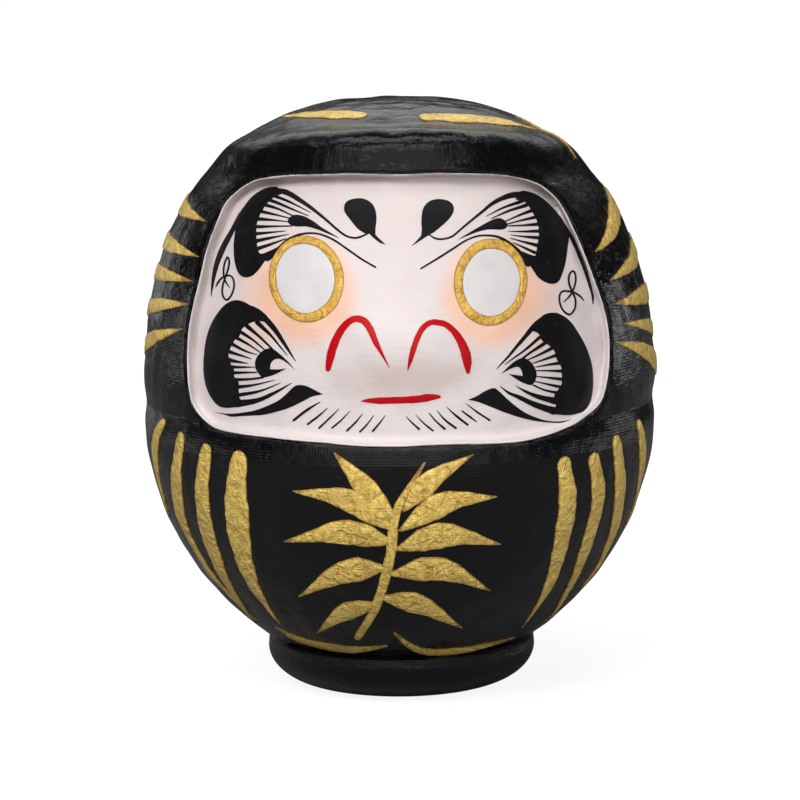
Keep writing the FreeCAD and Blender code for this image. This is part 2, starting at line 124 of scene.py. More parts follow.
L_blade = [[(19.6, 97.2), (22.2, 98.2), (24.4, 99.4), (26.9, 100.2), (28.3, 99.5), (30.8, 97),
           (33.4, 94.6), (36.4, 92.3), (39.8, 90.5), (42.9, 89.3), (46.7, 88.6), (50.1, 88.6)],
           [(50.1, 88.6), (47.1, 88.1), (44, 88.6), (39.1, 89.7), (34.5, 91.2), (29.7, 93.2),
           (25.2, 95.3), (22.2, 96.6), (19.6, 97.2)]]
R_brow_b = [
    ([(-36.2, 155.5), (-32.3, 154.9), (-28.5, 153.1), (-24.7, 150.8), (-20.9, 148.1), (-17.5, 145.4),
      (-14.9, 143.7), (-12.3, 143.2), (-10.1, 143.8), (-8.6, 144.5)],
      [0.59, 0.74, 0.62, 0.48, 0.37, 0.33, 0.29, 0.29, 0.26, 0.18]),
    ([(-38, 136.6), (-34.3, 139.6), (-32.1, 141.9), (-29.4, 143.4), (-26.1, 144.2), (-22.7, 144.1),
      (-18.6, 142.6), (-14.5, 140), (-10.5, 137.4), (-6.6, 135.2)],
      [0.74, 0.74, 0.51, 0.33, 0.26, 0.26, 0.29, 0.29, 0.29, 0.26]),
    ([(-46.4, 147.7), (-48.6, 143.5), (-51.1, 139), (-53.1, 134.4), (-54.3, 129.6), (-55, 124.4)],
      [0.59, 0.66, 0.85, 0.77, 0.51, 0.074]),
    ([(-36.1, 153.9), (-30.7, 152.2), (-25.2, 149.8)], [0.51, 0.29, 0.092]),
    ([(-37.8, 152.8), (-32.2, 151.1), (-25.9, 148.9)], [0.51, 0.33, 0.11]),
    ([(-38.9, 151.3), (-34.5, 150.3), (-30.5, 148.8)], [0.51, 0.29, 0.18]),
    ([(-40, 149.4), (-35.6, 148.8), (-31.3, 148.1)], [0.51, 0.26, 0.15]),
    ([(-41.1, 147.3), (-36.3, 147.3), (-31.7, 147.1)], [0.55, 0.26, 0.11]),
    ([(-41.6, 145.1), (-36.3, 145.6), (-30.8, 146)], [0.51, 0.26, 0.15]),
    ([(-41.6, 143.2), (-37, 143.9), (-32.5, 144.6)], [0.48, 0.26, 0.074]),
    ([(-41.5, 141.2), (-36.2, 142.6), (-31.6, 143.7)], [0.55, 0.29, 0.074]),
    ([(-41.1, 139.1), (-36.6, 140.8), (-32.4, 142.5)], [0.55, 0.33, 0.11]),
]
L_brow_b = [
    ([(35.7, 153.6), (33, 153.6), (30, 152.9), (26.9, 151.5), (24.3, 149.7), (20.9, 147.3), (17.9, 145.1),
      (15.6, 143.4), (13, 142.7), (10.8, 142.9), (9, 143.9)],
      [0.81, 0.74, 0.62, 0.48, 0.4, 0.33, 0.29, 0.29, 0.26, 0.26, 0.18]),
    ([(37.6, 134.5), (35, 137.9), (32.8, 140.1), (30.5, 141.8), (28.3, 142.8), (25.7, 143.2),
      (22.7, 143.1), (19.3, 142), (15.6, 139.9), (11.2, 137.4), (6.4, 134.7)],
      [0.74, 0.66, 0.51, 0.4, 0.29, 0.26, 0.26, 0.26, 0.29, 0.29, 0.22]),
    ([(47.5, 146.2), (50.6, 141.7), (52.6, 137.6), (54.5, 133.1), (56, 128.3), (57, 124.2), (57, 121.2)],
      [0.59, 0.81, 0.88, 0.88, 0.74, 0.51, 0.11]),
    ([(36.6, 151.9), (30.7, 150.5), (25.4, 148.4)], [0.51, 0.29, 0.092]),
    ([(37.7, 150.7), (32.2, 149.5), (26.9, 147.7)], [0.51, 0.33, 0.11]),
    ([(39, 149.1), (35.2, 148.1), (31.2, 146.8)], [0.48, 0.29, 0.15]),
    ([(40, 147.2), (35.9, 146.7), (31.7, 146)], [0.48, 0.26, 0.15]),
    ([(40.9, 145.2), (36.7, 145.3), (31.7, 145.5)], [0.51, 0.26, 0.15]),
    ([(41.1, 143.3), (36.6, 143.6), (31.9, 144)], [0.48, 0.26, 0.074]),
    ([(40.8, 141.5), (36.6, 142.2), (32.5, 143)], [0.48, 0.26, 0.074]),
    ([(40.4, 139.5), (36.6, 140.7), (32.4, 142.1)], [0.51, 0.29, 0.092]),
    ([(39.6, 137.6), (36.6, 139.1), (33.2, 140.8)], [0.44, 0.29, 0.11]),
]
R_whisk_b = [
    ([(-47.5, 123.8), (-41.3, 121.9), (-38.3, 119.6), (-35.6, 116.7), (-33.4, 113.6), (-31.5, 110.8),
      (-29.8, 108.2)], [0.44, 0.81, 0.88, 0.74, 0.55, 0.33, 0.074]),
    ([(-40.9, 118.6), (-37.1, 115.3), (-34.5, 112.4), (-32.1, 109.7)], [0.74, 0.4, 0.26, 0.074]),
    ([(-44, 117.3), (-40.2, 114.5), (-36.6, 111.3)], [0.66, 0.37, 0.29]),
    ([(-45.7, 115.4), (-42.1, 113.4), (-38.8, 110.9)], [0.55, 0.33, 0.18]),
    ([(-47.1, 113.7), (-43.2, 111.9), (-40.2, 110.1)], [0.55, 0.29, 0.15]),
    ([(-48.5, 111.8), (-44.4, 110.1), (-41.1, 109.4)], [0.55, 0.29, 0.11]),
    ([(-49.4, 109.5), (-45.5, 108.7), (-42.7, 108)], [0.55, 0.29, 0.074]),
    ([(-49.4, 107.1), (-45.9, 106.8), (-43.7, 106.7)], [0.62, 0.29, 0.074]),
    ([(-48.5, 105.2), (-44.7, 105.5), (-41.7, 105.8)], [0.48, 0.26, 0.11]),
    ([(-48.3, 103.5), (-44.4, 104), (-41.3, 104.3)], [0.48, 0.29, 0.18]),
    ([(-47.4, 101.6), (-43.2, 102.2), (-39.4, 103)], [0.51, 0.33, 0.29]),
    ([(-47.1, 99.5), (-42.5, 100.5), (-35.9, 102.5)], [0.59, 0.33, 0.074]),
    ([(-47.1, 97.1), (-40.6, 98.9), (-34.1, 101.8)], [0.62, 0.33, 0.074]),
    ([(-47.1, 94.6), (-41.3, 96.1), (-36, 98.8), (-30.9, 102)], [1.1, 0.7, 0.44, 0.074]),
]
L_whisk_b = [
    ([(41.7, 118.9), (39, 117), (36.4, 114.3), (33.7, 111.5), (31.5, 109.1), (29.6, 107.3), (28, 105.7)],
      [0.74, 0.74, 0.59, 0.44, 0.33, 0.22, 0.074]),
    ([(40.5, 113.6), (36.4, 110.6), (33, 108.5), (30.3, 106.7)], [0.51, 0.33, 0.22, 0.074]),
    ([(42.2, 111.9), (38.3, 109.9), (34.9, 107.7)], [0.59, 0.37, 0.29]),
    ([(44.3, 110.2), (40.5, 108.8), (37.3, 107.7)], [0.51, 0.33, 0.18]),
    ([(45.4, 108), (41.7, 107.2), (38.6, 106.5)], [0.51, 0.29, 0.15]),
    ([(46.6, 105.7), (42.8, 105.6), (39.4, 105.3)], [0.51, 0.29, 0.15]),
    ([(47.3, 103.3), (43.2, 103.9), (39.4, 104.3)], [0.48, 0.26, 0.15]),
    ([(47.4, 100.9), (43.2, 101.9), (39.6, 102.6)], [0.51, 0.29, 0.15]),
    ([(46.7, 98.8), (42.4, 100.2), (39.2, 101.2)], [0.48, 0.26, 0.15]),
    ([(45.8, 97.2), (42.1, 98.4), (38.7, 100.1)], [0.48, 0.29, 0.22]),
    ([(45.1, 94.9), (40.2, 96.6), (36.4, 98.5), (33.5, 100.4)], [1, 0.66, 0.37, 0.074]),
    ([(44.8, 92), (39.4, 94.3), (34.5, 97), (31.5, 98.5), (28.9, 100.7)], [1.1, 0.81, 0.59, 0.37, 0.074]),
]
chin_b = [
    ([(-22.8, 96.9), (-26.7, 94.3), (-30.6, 91.1)], [0.11, 0.37, 0.33]),
    ([(-20.6, 95.2), (-23.5, 92.6), (-26.5, 90.2)], [0.074, 0.29, 0.29]),
    ([(-17.4, 95), (-20.4, 92), (-23.2, 89.3)], [0.074, 0.26, 0.29]),
    ([(-14.2, 94.5), (-16.7, 91.8), (-19.4, 89.4)], [0.074, 0.22, 0.26]),
    ([(-10.6, 93.7), (-12.6, 91.2), (-15.2, 88.7)], [0.074, 0.26, 0.29]),
    ([(-7.4, 93.3), (-9.3, 90.7), (-11.4, 88.5)], [0.074, 0.22, 0.29]),
    ([(-4.1, 93.4), (-5.8, 91.1), (-7.7, 88.8)], [0.074, 0.22, 0.29]),
]
chin2_b = [
    ([(1.8, 93), (3.4, 91.3), (5.5, 89.3)], [0.074, 0.22, 0.33]),
    ([(4.6, 93.4), (6.9, 90.9), (9.5, 88.7)], [0.074, 0.22, 0.29]),
    ([(8.5, 93.7), (10.4, 91.4), (12.9, 89.1)], [0.15, 0.26, 0.33]),
    ([(10.6, 94.6), (13, 91.7), (16.1, 89.2)], [0.074, 0.29, 0.33]),
    ([(13.5, 95.4), (16.3, 92.7), (19.5, 90)], [0.074, 0.33, 0.29]),
    ([(17.9, 94.1), (20, 92.4), (22.1, 90.7)], [0.18, 0.29, 0.15]),
    ([(19.1, 96.2), (22.2, 93.6), (25.9, 91)], [0.074, 0.26, 0.29]),
]
nose_b = [
    ([(-20.4, 106.5), (-19.8, 109.3), (-18.9, 112.6), (-17.4, 116), (-15.6, 118.7), (-13.5, 120.5),
      (-11.7, 120.9), (-9.7, 120.2), (-8, 118), (-6.6, 114.7), (-4.9, 111.5), (-2.8, 107.6)],
      [0.74, 1.1, 1.2, 1.1, 0.99, 0.88, 0.92, 0.99, 0.99, 0.81, 0.44, 0.074]),
]
nose2_b = [
    ([(2.4, 106.7), (3.3, 110.1), (4.4, 113.7), (5.6, 116.6), (7.1, 118.7), (9.1, 119.8), (11.2, 119.7),
      (13.4, 119), (15.6, 117.1), (17.4, 114.5), (18.7, 111.6), (19.4, 108.6), (19.7, 105.4)],
      [0.11, 0.66, 0.81, 0.81, 0.81, 0.74, 0.81, 0.81, 0.92, 1.1, 1.3, 1.3, 0.59]),
]
mouth_b = [
    ([(-11.1, 97.4), (-8.6, 97.6), (-5.3, 97.6), (0.1, 97.8), (5, 98), (8.3, 98.4), (11.3, 98.5)],
      [0.11, 0.66, 1, 1, 1.1, 1.1, 0.51]),
]
ear_b = [
    ([(-49.3, 127.7), (-50.5, 129.2), (-51.1, 131.1), (-51, 133.6), (-50, 136), (-49.4, 134.8),
      (-49.8, 132.7), (-50.6, 130.4), (-51.4, 127.8), (-51.4, 125.3), (-50.2, 124.1), (-48.7, 125.6),
      (-47.9, 128.2), (-48.3, 130.3), (-49.5, 131), (-51.5, 130.2), (-52.8, 128.7), (-53.5, 127.4)],
      [0.092] + 16 * [0.18] + [0.092]),
]
ear2_b = [
    ([(48.1, 123), (49.8, 124.4), (51, 126.1), (51.8, 128.5), (51.6, 130.7), (50.6, 131.2), (49.7, 129.8),
      (49.8, 127.7), (50.7, 125.6), (51.6, 123.1), (51.3, 120.6), (49.6, 119.2), (47.5, 121.1),
      (46.7, 124), (47.4, 125.9), (49.3, 125.9), (51.4, 125.1), (53, 124), (54.2, 122.6)],
      [0.092] + 17 * [0.18] + [0.092]),
]


# ---- curves in the flat ------------------------------------------------------------------------

def smooth(points, steps=6, closed=False):
    """Catmull-Rom curve through the points."""
    p = np.array(points, float)
    n = len(p)
    if n < 3 and not closed:
        t = np.linspace(0, 1, steps + 1)[:, None]
        return p[0] * (1 - t) + p[-1] * t
    if closed:
        ring = np.vstack([p[-1:], p, p[:2]])
    else:
        ring = np.vstack([2 * p[:1] - p[1:2], p, 2 * p[-1:] - p[-2:-1]])
    out = []
    for i in range(1, len(ring) - 2):
        a, b, c, d = ring[i - 1:i + 3]
        for t in np.arange(steps) / steps:
            out.append(0.5 * (2 * b + (c - a) * t + (2 * a - 5 * b + 4 * c - d) * t ** 2
                              + (3 * b - a - 3 * c + d) * t ** 3))
    if not closed:
        out.append(ring[-2])
    return np.array(out)


def patch(segments, steps=5):
    """Closed outline of smooth segments that meet in corners."""
    parts = [smooth(s, steps)[:-1] for s in segments]
    return np.vstack(parts)


def brush(path, halves, steps=6, wobble=0.0):
    """Closed outline of a brush stroke with round ends."""
    line = smooth(path, steps)
    knots = smooth([(k, h) for k, h in enumerate(halves)], 4)
    wide = np.interp(np.linspace(0, knots[-1, 0], len(line)), knots[:, 0], np.maximum(knots[:, 1], 0.03))
    if wobble:
        s = np.arange(len(line))
        wide = wide * (1 + wobble * np.sin(s * 1.7 + line[0, 0]) * np.sin(s * 0.61 + 1.3))
    run = np.gradient(line, axis=0)
    run /= np.linalg.norm(run, axis=1)[:, None] + 1e-9
    side = np.stack([-run[:, 1], run[:, 0]], 1)
    left, right = line + side * wide[:, None], line - side * wide[:, None]
    caps = []
    for i, sign in ((-1, 1), (0, -1)):
        cap = []
        if wide[i] > 0.12:
            for a in np.radians([30, 60, 90, 120, 150]):
                cap.append(line[i] + sign * (side[i] * math.cos(a) + run[i] * math.sin(a)) * wide[i])
        caps.append(np.array(cap).reshape(-1, 2))
    return np.vstack([left, caps[0], right[::-1], caps[1]])


def oval(centre, half, count=64, wobble=0.0):
    a = np.linspace(0, 2 * math.pi, count, endpoint=False)
    r = 1 + wobble * (np.sin(3 * a + 1) + 0.7 * np.sin(7 * a) + 0.5 * np.sin(11 * a + 2))
    return np.stack([centre[0] + half[0] * r * np.cos(a), centre[1] + half[1] * r * np.sin(a)], 1)


def inside(points, loop):
    x, y = points[:, 0:1], points[:, 1:2]
    ax, ay = loop[:, 0], loop[:, 1]
    bx, by = np.roll(ax, -1), np.roll(ay, -1)
    cross = ((ay > y) != (by > y)) & (x < (bx - ax) * (y - ay) / (by - ay + 1e-12) + ax)
    return cross.sum(1) % 2 == 1


def edge_distance(points, loop):
    a = loop[None]
    b = np.roll(loop, -1, 0)[None]
    best = np.full(len(points), 1e9)
    for i in range(0, len(points), 4000):
        p = points[i:i + 4000, None]
        t = np.clip(((p - a) * (b - a)).sum(2) / (((b - a) ** 2).sum(2) + 1e-12), 0, 1)[..., None]
        best[i:i + 4000] = np.linalg.norm(p - a - (b - a) * t, axis=2).min(1)
    return best


# ---- the doll's form as a distance-like field ------------------------------------------------------

FACE_LOOP = smooth(FACE_EDGE, 5, closed=True)
GRID_X = np.arange(-76, 76.5, 1.0)
GRID_Z = np.arange(70, 176.5, 1.0)
_gx, _gz = np.meshgrid(GRID_X, GRID_Z, indexing="ij")
_flat = np.stack([_gx.ravel(), _gz.ravel()], 1)
_sign = np.where(inside(_flat, FACE_LOOP), -1.0, 1.0)
FACE_MAP = (_sign * edge_distance(_flat, FACE_LOOP)).reshape(_gx.shape)
_rng = np.random.default_rng(7)
LUMPS = [(_rng.normal(size=3), _rng.uniform(0.16, 0.42), _rng.uniform(0, 6.28)) for _ in range(14)]


def outline_distance(x, z):
    u = np.clip(x - GRID_X[0], 0, len(GRID_X) - 1.001)
    v = np.clip(z - GRID_Z[0], 0, len(GRID_Z) - 1.001)
    i, j = u.astype(int), v.astype(int)
    a, b = u - i, v - j
    m = FACE_MAP
    return (m[i, j] * (1 - a) * (1 - b) + m[i + 1, j] * a * (1 - b)
            + m[i, j + 1] * (1 - a) * b + m[i + 1, j + 1] * a * b)


def low(a, b, k):
    """Smooth union."""
    h = np.maximum(k - np.abs(a - b), 0) / k
    return np.minimum(a, b) - h * h * k / 4


def egg(x, y, z, skin):
    up = z > WAIST_Z
    n = np.where(up, TOP_POWER, LOW_POWER)
    b = np.where(up, HEIGHT - WAIST_Z, LOW_DEPTH) - skin
    rad = WAIST_R - skin
    rho = np.maximum(np.hypot(x, y), 1e-3)
    w = np.maximum(np.abs(z - WAIST_Z), 1e-3)
    g = ((rho / rad) ** n + (w / b) ** n) ** (1 / n)
    slope = g ** (1 - n) * np.hypot(rho ** (n - 1) / rad ** n, w ** (n - 1) / b ** n)
    return (g - 1) / slope


def roll_field(x, y, z):
    h = z - ROLL_Z
    c, s = math.cos(ROLL_TILT), math.sin(ROLL_TILT)
    yy, zz = y * c - h * s, y * s + h * c
    far = np.hypot(x, yy)
    ahead = np.clip(-yy / np.maximum(far, 1.0), 0, 1) ** 1.5
    power = 2 + (ROLL_POWER - 2) * ahead
    out = np.abs(far - ROLL_MAJOR) + 1e-6
    rise = np.where(zz > 0, ROLL_MINOR + (ROLL_RISE - ROLL_MINOR) * ahead, ROLL_MINOR)
    up = np.abs(zz) * ROLL_MINOR / rise + 1e-6
    return (out ** power + up ** power) ** (1 / power) - ROLL_MINOR


def nose_field(x, y, z):
    q = np.sqrt((x / NOSE_HALF_X) ** 2 + ((y - NOSE_Y) / NOSE_HALF_Y) ** 2 + ((z - NOSE_Z) / NOSE_HALF_Z) ** 2)
    return (q - 1) * NOSE_HALF_Y


def field(p):
    """Below zero inside the pulp form."""
    x, y, z = p[:, 0], p[:, 1], p[:, 2]
    body = egg(x, y, z, 0.0)
    body = body + CREASE_DEEP * np.exp(-((z - CREASE_Z) / CREASE_WIDE) ** 2)
    body = body + SHOULDER_DEEP * np.exp(-((z - SHOULDER_Z) / SHOULDER_WIDE) ** 2)
    body = low(body, roll_field(x, y, z), 4.0)
    face = low(egg(x, y, z, RECESS), nose_field(x, y, z), 7.0)
    edge = -np.where(y < 0, outline_distance(x, z) - 0.20 * body, 60.0)
    form = -low(-body, -low(edge, face, 2.2), 1.7)
    lumps = sum(np.sin(x * d[0] * f + y * d[1] * f + z * d[2] * f + o) for d, f, o in LUMPS)
    return form + 0.05 * lumps


def slope_of(p, eps=0.15):
    g = np.empty_like(p)
    for k in range(3):
        e = np.zeros(3)
        e[k] = eps
        g[:, k] = (field(p + e) - field(p - e)) / (2 * eps)
    return g


def settle(p, rounds=4):
    """Moves points onto the surface."""
    for _ in range(rounds):
        g = slope_of(p)
        p = p - g * np.clip(field(p) / np.maximum((g ** 2).sum(1), 0.3), -0.3, 0.3)[:, None]
    return p


def cast(start, way):
    """First point of the surface along each ray."""
    t = np.zeros(len(start))
    for _ in range(90):
        t = t + 0.65 * np.clip(field(start + way * t[:, None]), -4, 25)
    p = start + way * t[:, None]
    n = slope_of(p)
    return p, n / np.linalg.norm(n, axis=1)[:, None]


# ---- meshes ----------------------------------------------------------------------------------------

def make_object(name, verts, faces):
    mesh = bpy.data.meshes.new(name)
    mesh.from_pydata((np.asarray(verts) * MM).tolist(), [], faces)
    mesh.validate()
    obj = bpy.data.objects.new(name, mesh)
    bpy.context.collection.objects.link(obj)
    mesh.shade_smooth()
    return obj


def net(lo, hi, step):
    """Surface nets: one vertex per crossed cell, one quad per crossed grid edge."""
    axes = [np.arange(lo[k], hi[k] + step, step) for k in range(3)]
    shape = [len(a) for a in axes]
    grid = np.stack(np.meshgrid(*axes, indexing="ij"), -1).reshape(-1, 3)
    value = np.concatenate([field(grid[i:i + 400000]) for i in range(0, len(grid), 400000)]).reshape(shape)
    below = value < 0
    corners = [(i, j, k) for i in (0, 1) for j in (0, 1) for k in (0, 1)]
    count = sum(below[i:shape[0] - 1 + i, j:shape[1] - 1 + j, k:shape[2] - 1 + k].astype(int)
                for i, j, k in corners)
    cells = np.argwhere((count > 0) & (count < 8))
    index = -np.ones([s - 1 for s in shape], int)
    index[tuple(cells.T)] = np.arange(len(cells))
    total, hits = np.zeros((len(cells), 3)), np.zeros(len(cells))
    for a in corners:
        for b in corners:
            if sum(b) == sum(a) + 1 and all(q >= p for p, q in zip(a, b)):
                va, vb = value[tuple((cells + a).T)], value[tuple((cells + b).T)]
                cut = (va < 0) != (vb < 0)
                t = np.where(cut, va / np.where(cut, va - vb, 1), 0)[:, None]
                spot = np.array(a) * (1 - t) + np.array(b) * t
                total += np.where(cut[:, None], spot, 0)
                hits += cut
    verts = np.array(lo) + (cells + total / hits[:, None]) * step
    quads = []
    for axis in range(3):
        u, v = [(1, 2), (2, 0), (0, 1)][axis]
        one = np.eye(3, dtype=int)
        size = [s - (1 if k == axis else 0) for k, s in enumerate(shape)]
        first = below[:size[0], :size[1], :size[2]]
        second = below[one[axis][0]:, one[axis][1]:, one[axis][2]:]
        for cut, flip in ((first & ~second, False), (~first & second, True)):
            e = np.argwhere(cut)
            e = e[(e[:, u] > 0) & (e[:, v] > 0) & (e[:, u] < shape[u] - 1) & (e[:, v] < shape[v] - 1)]
            ring = [index[tuple((e - d).T)] for d in (one[u] + one[v], one[v], one[u] * 0, one[u])]
            quads.append(np.stack(ring[::-1] if flip else ring, 1))
    return verts, np.vstack(quads)


def mark_rim(obj, values):
    """Stores how far each vertex lies in from the edge of its paint, for the painted shade along the edges of
    the gold.
    """
    layer = obj.data.attributes.new("rim", "FLOAT", "POINT")
    layer.data.foreach_set("value", np.asarray(values, np.float32))


def front_map(uv):
    start = np.stack([uv[:, 0], np.full(len(uv), -100.0), uv[:, 1]], 1)
    return cast(start, np.array([0.0, 1.0, 0.0])[None])


# One degree round the waist, in millimetres.
TURN = math.radians(1.0) * WAIST_R


def side_map(uv):
    a = np.radians(uv[:, 0] / TURN)
    out = np.stack([np.sin(a), -np.cos(a), np.zeros(len(a))], 1)
    start = out * 100.0
    start[:, 2] = uv[:, 1]
    return cast(start, -out)


def top_map(uv):
    start = np.stack([uv[:, 0], uv[:, 1], np.full(len(uv), 200.0)], 1)
    return cast(start, np.array([0.0, 0.0, -1.0])[None])


def applique(name, loops, mapping, low_side, high, holes=(), step=1.6, shoulder=0.6, ripple=0.0, insets=()):
    """Closed sheet of paint over the union of the loops, domed at its edges."""
    loops = [np.asarray(l) for l in loops] + [np.asarray(h) for h in holes]
    first_hole = len(loops) - len(holes)
    verts, faces = [], []
    for l in loops:
        area = (l[:, 0] * np.roll(l[:, 1], -1) - np.roll(l[:, 0], -1) * l[:, 1]).sum()
        l = l if area > 0 else l[::-1]
        faces.append(list(range(len(verts), len(verts) + len(l))))
        verts += l.tolist()
    rims = np.array(verts)
    box = rims.min(0), rims.max(0)
    g = np.meshgrid(np.arange(box[0][0], box[1][0], step), np.arange(box[0][1], box[1][1], step))
    g = np.stack(g, -1)
    g = g.reshape(-1, 2)
    g[:, 0] += (np.round((g[:, 1] - box[0][1]) / step) % 2) * step / 2
    keep = np.zeros(len(g), bool)
    for l in loops[:first_hole]:
        keep |= inside(g, l)
    g = g[keep]
    clear = np.full(len(g), 1e9)
    for l in loops:
        if len(g):
            clear = np.minimum(clear, edge_distance(g, l))
    g = g[clear > max(0.4 * step, max(insets, default=0) + 0.3 * step)]
    verts += g.tolist()
    for l in loops[:first_hole]:
        along = np.roll(l, -1, 0) - np.roll(l, 1, 0)
        side = np.stack([-along[:, 1], along[:, 0]], 1) / np.linalg.norm(along, axis=1)[:, None]
        side *= 1 if (l[:, 0] * np.roll(l[:, 1], -1) - np.roll(l[:, 0], -1) * l[:, 1]).sum() > 0 else -1
        for d in insets:
            verts += (l + side * d)[edge_distance(l + side * d, l) > 0.9 * d].tolist()
    flat, _, tris, _, _, source = delaunay_2d_cdt([Vector(v) for v in verts], [], faces, 0, 1e-5)
    tris = [t for t, s in zip(tris, source)
            if any(k < first_hole for k in s) and not any(k >= first_hole for k in s)]
    used = sorted({v for t in tris for v in t})
    number = {v: i for i, v in enumerate(used)}
    tris = [[number[v] for v in t] for t in tris]
    uv = np.array([flat[v] for v in used])
    edges = {}
    for t in tris:
        for a, b in zip(t, t[1:] + t[:1]):
            edges[(a, b)] = 1
    rim = [(a, b) for a, b in edges if (b, a) not in edges]
    ends = uv[[a for a, b in rim]]
    away = np.full(len(uv), 1e9)
    for i in range(0, len(uv), 2000):
        away[i:i + 2000] = np.linalg.norm(uv[i:i + 2000, None] - ends[None], axis=2).min(1)
    dome = np.sqrt(np.clip(1 - (1 - np.clip(away / shoulder, 0, 1)) ** 2, 0, 1))
    spot, normal = mapping(uv)
    lift = low_side + (high - low_side) * (0.45 + 0.55 * dome)
    if ripple:
        across = np.sin(uv[:, 0] * 2.1 + 3 * np.sin(uv[:, 1] * 0.7))
        lift = lift + ripple * dome * across * np.sin(uv[:, 1] * 1.7)
    n = len(uv)
    top = spot + normal * lift[:, None]
    base = spot + normal * (low_side - 0.15)
    faces = [list(t) for t in tris] + [[v + n for v in reversed(t)] for t in tris]
    faces += [[b, a, a + n, b + n] for a, b in rim]
    obj = make_object(name, np.vstack([top, base]), faces)
    obj.data.set_sharp_from_angle(angle=math.radians(50))
    mark_rim(obj, np.concatenate([np.clip(away / 0.8, 0, 1), np.zeros(n)]))
    return obj


def gather(name, parts):
    """One object from several closed sheets."""
    verts, faces, rim = [], [], []
    for obj in parts:
        base = len(verts)
        rim += [v.value for v in obj.data.attributes["rim"].data]
        verts += [np.array(v.co) / MM for v in obj.data.vertices]
        faces += [[base + i for i in f.vertices] for f in obj.data.polygons]
        bpy.data.objects.remove(obj)
    obj = make_object(name, verts, faces)
    obj.data.set_sharp_from_angle(angle=math.radians(50))
    mark_rim(obj, rim)
    return obj


# ---- materials -------------------------------------------------------------------------------------

class Paint:
    """A node material written in short steps; lengths in its textures are millimetres."""

    def __init__(self, name):
        self.mat = bpy.data.materials.new(name)
        self.mat.use_nodes = True
        self.tree = self.mat.node_tree
        self.tree.nodes.clear()
        spot = self.add("ShaderNodeTexCoord").outputs["Object"]
        self.mm = self.vector("SCALE", spot, scale=1000.0)
        parts = self.add("ShaderNodeSeparateXYZ")
        self.put(parts.inputs[0], self.mm)
        self.x, self.y, self.z = parts.outputs

    def add(self, kind, **settings):
        node = self.tree.nodes.new(kind)
        for key, value in settings.items():
            setattr(node, key, value)
        return node

    def put(self, socket, value):
        if isinstance(value, bpy.types.NodeSocket):
            self.tree.links.new(value, socket)
        elif isinstance(value, tuple) and len(value) == 3 and socket.type == "RGBA":
            socket.default_value = (*value, 1.0)
        else:
            socket.default_value = value

    def vector(self, kind, a, scale=None):
        node = self.add("ShaderNodeVectorMath", operation=kind)
        self.put(node.inputs[0], a)
        if scale is not None:
            self.put(node.inputs["Scale"], scale)
        return node.outputs["Value" if kind == "LENGTH" else "Vector"]

    def sum(self, kind, a, b=0.0, c=0.0):
        node = self.add("ShaderNodeMath", operation=kind)
        for socket, value in zip(node.inputs, (a, b, c)):
            self.put(socket, value)
        return node.outputs[0]

    def join(self, x, y, z):
        node = self.add("ShaderNodeCombineXYZ")
        for socket, value in zip(node.inputs, (x, y, z)):
            self.put(socket, value)
        return node.outputs[0]

    def noise(self, where, scale, detail=3.0, rough=0.5, bend=0.0):
        node = self.add("ShaderNodeTexNoise")
        for key, value in (("Vector", where), ("Scale", scale), ("Detail", detail), ("Roughness", rough),
                           ("Distortion", bend)):
            self.put(node.inputs[key], value)
        return node.outputs["Fac"]

    def cells(self, where, scale):
        node = self.add("ShaderNodeTexVoronoi")
        self.put(node.inputs["Vector"], where)
        self.put(node.inputs["Scale"], scale)
        return node.outputs["Distance"]

    def span(self, value, low_in, high_in, low_out=0.0, high_out=1.0):
        node = self.add("ShaderNodeMapRange")
        for socket, v in zip(node.inputs, (value, low_in, high_in, low_out, high_out)):
            self.put(socket, v)
        return node.outputs[0]

    def mix(self, share, a, b):
        node = self.add("ShaderNodeMix", data_type="RGBA")
        self.put(node.inputs[0], share)
        self.put(node.inputs[6], a)
        self.put(node.inputs[7], b)
        return node.outputs[2]

    def bump(self, height, depth_mm, strength=1.0, base=None):
        node = self.add("ShaderNodeBump")
        self.put(node.inputs["Height"], height)
        self.put(node.inputs["Distance"], depth_mm * MM)
        self.put(node.inputs["Strength"], strength)
        if base is not None:
            self.put(node.inputs["Normal"], base)
        return node.outputs[0]

    def spot(self, x, z, half_x, half_z, soft):
        """1 inside an ellipse seen from the front, falling to 0 over soft times its size."""
        dx = self.sum("DIVIDE", self.sum("SUBTRACT", self.x, x), half_x)
        dz = self.sum("DIVIDE", self.sum("SUBTRACT", self.z, z), half_z)
        r = self.sum("SQRT", self.sum("ADD", self.sum("MULTIPLY", dx, dx), self.sum("MULTIPLY", dz, dz)))
        return self.span(r, 1.0 + soft, 1.0, 0.0, 1.0)

    def finish(self, colour, rough, normal, metal=0.0, coat=0.0, coat_rough=0.1, sheen=0.0, scatter=0.0,
               shine=0.5):
        shader = self.add("ShaderNodeBsdfPrincipled")
        values = {"Base Color": colour, "Roughness": rough, "Metallic": metal, "Coat Weight": coat,
                  "Specular IOR Level": shine, "Coat Roughness": coat_rough, "Sheen Weight": sheen,
                  "Subsurface Weight": scatter}
        for key, value in values.items():
            self.put(shader.inputs[key], value)
        if scatter:
            self.put(shader.inputs["Subsurface Scale"], 0.0015)
        self.put(shader.inputs["Normal"], normal)
        out = self.add("ShaderNodeOutputMaterial")
        self.put(out.inputs["Surface"], shader.outputs[0])
        return self.mat


def around(p):
    """Distance from the axis, and the direction round it scaled to the girth, so textures have no seam."""
    ring = p.sum("SQRT", p.sum("ADD", p.sum("MULTIPLY", p.x, p.x), p.sum("MULTIPLY", p.y, p.y)))
    safe = p.sum("MAXIMUM", ring, 4.0)
    return ring, [p.sum("MULTIPLY", p.sum("DIVIDE", side, safe), WAIST_R) for side in (p.x, p.y)]


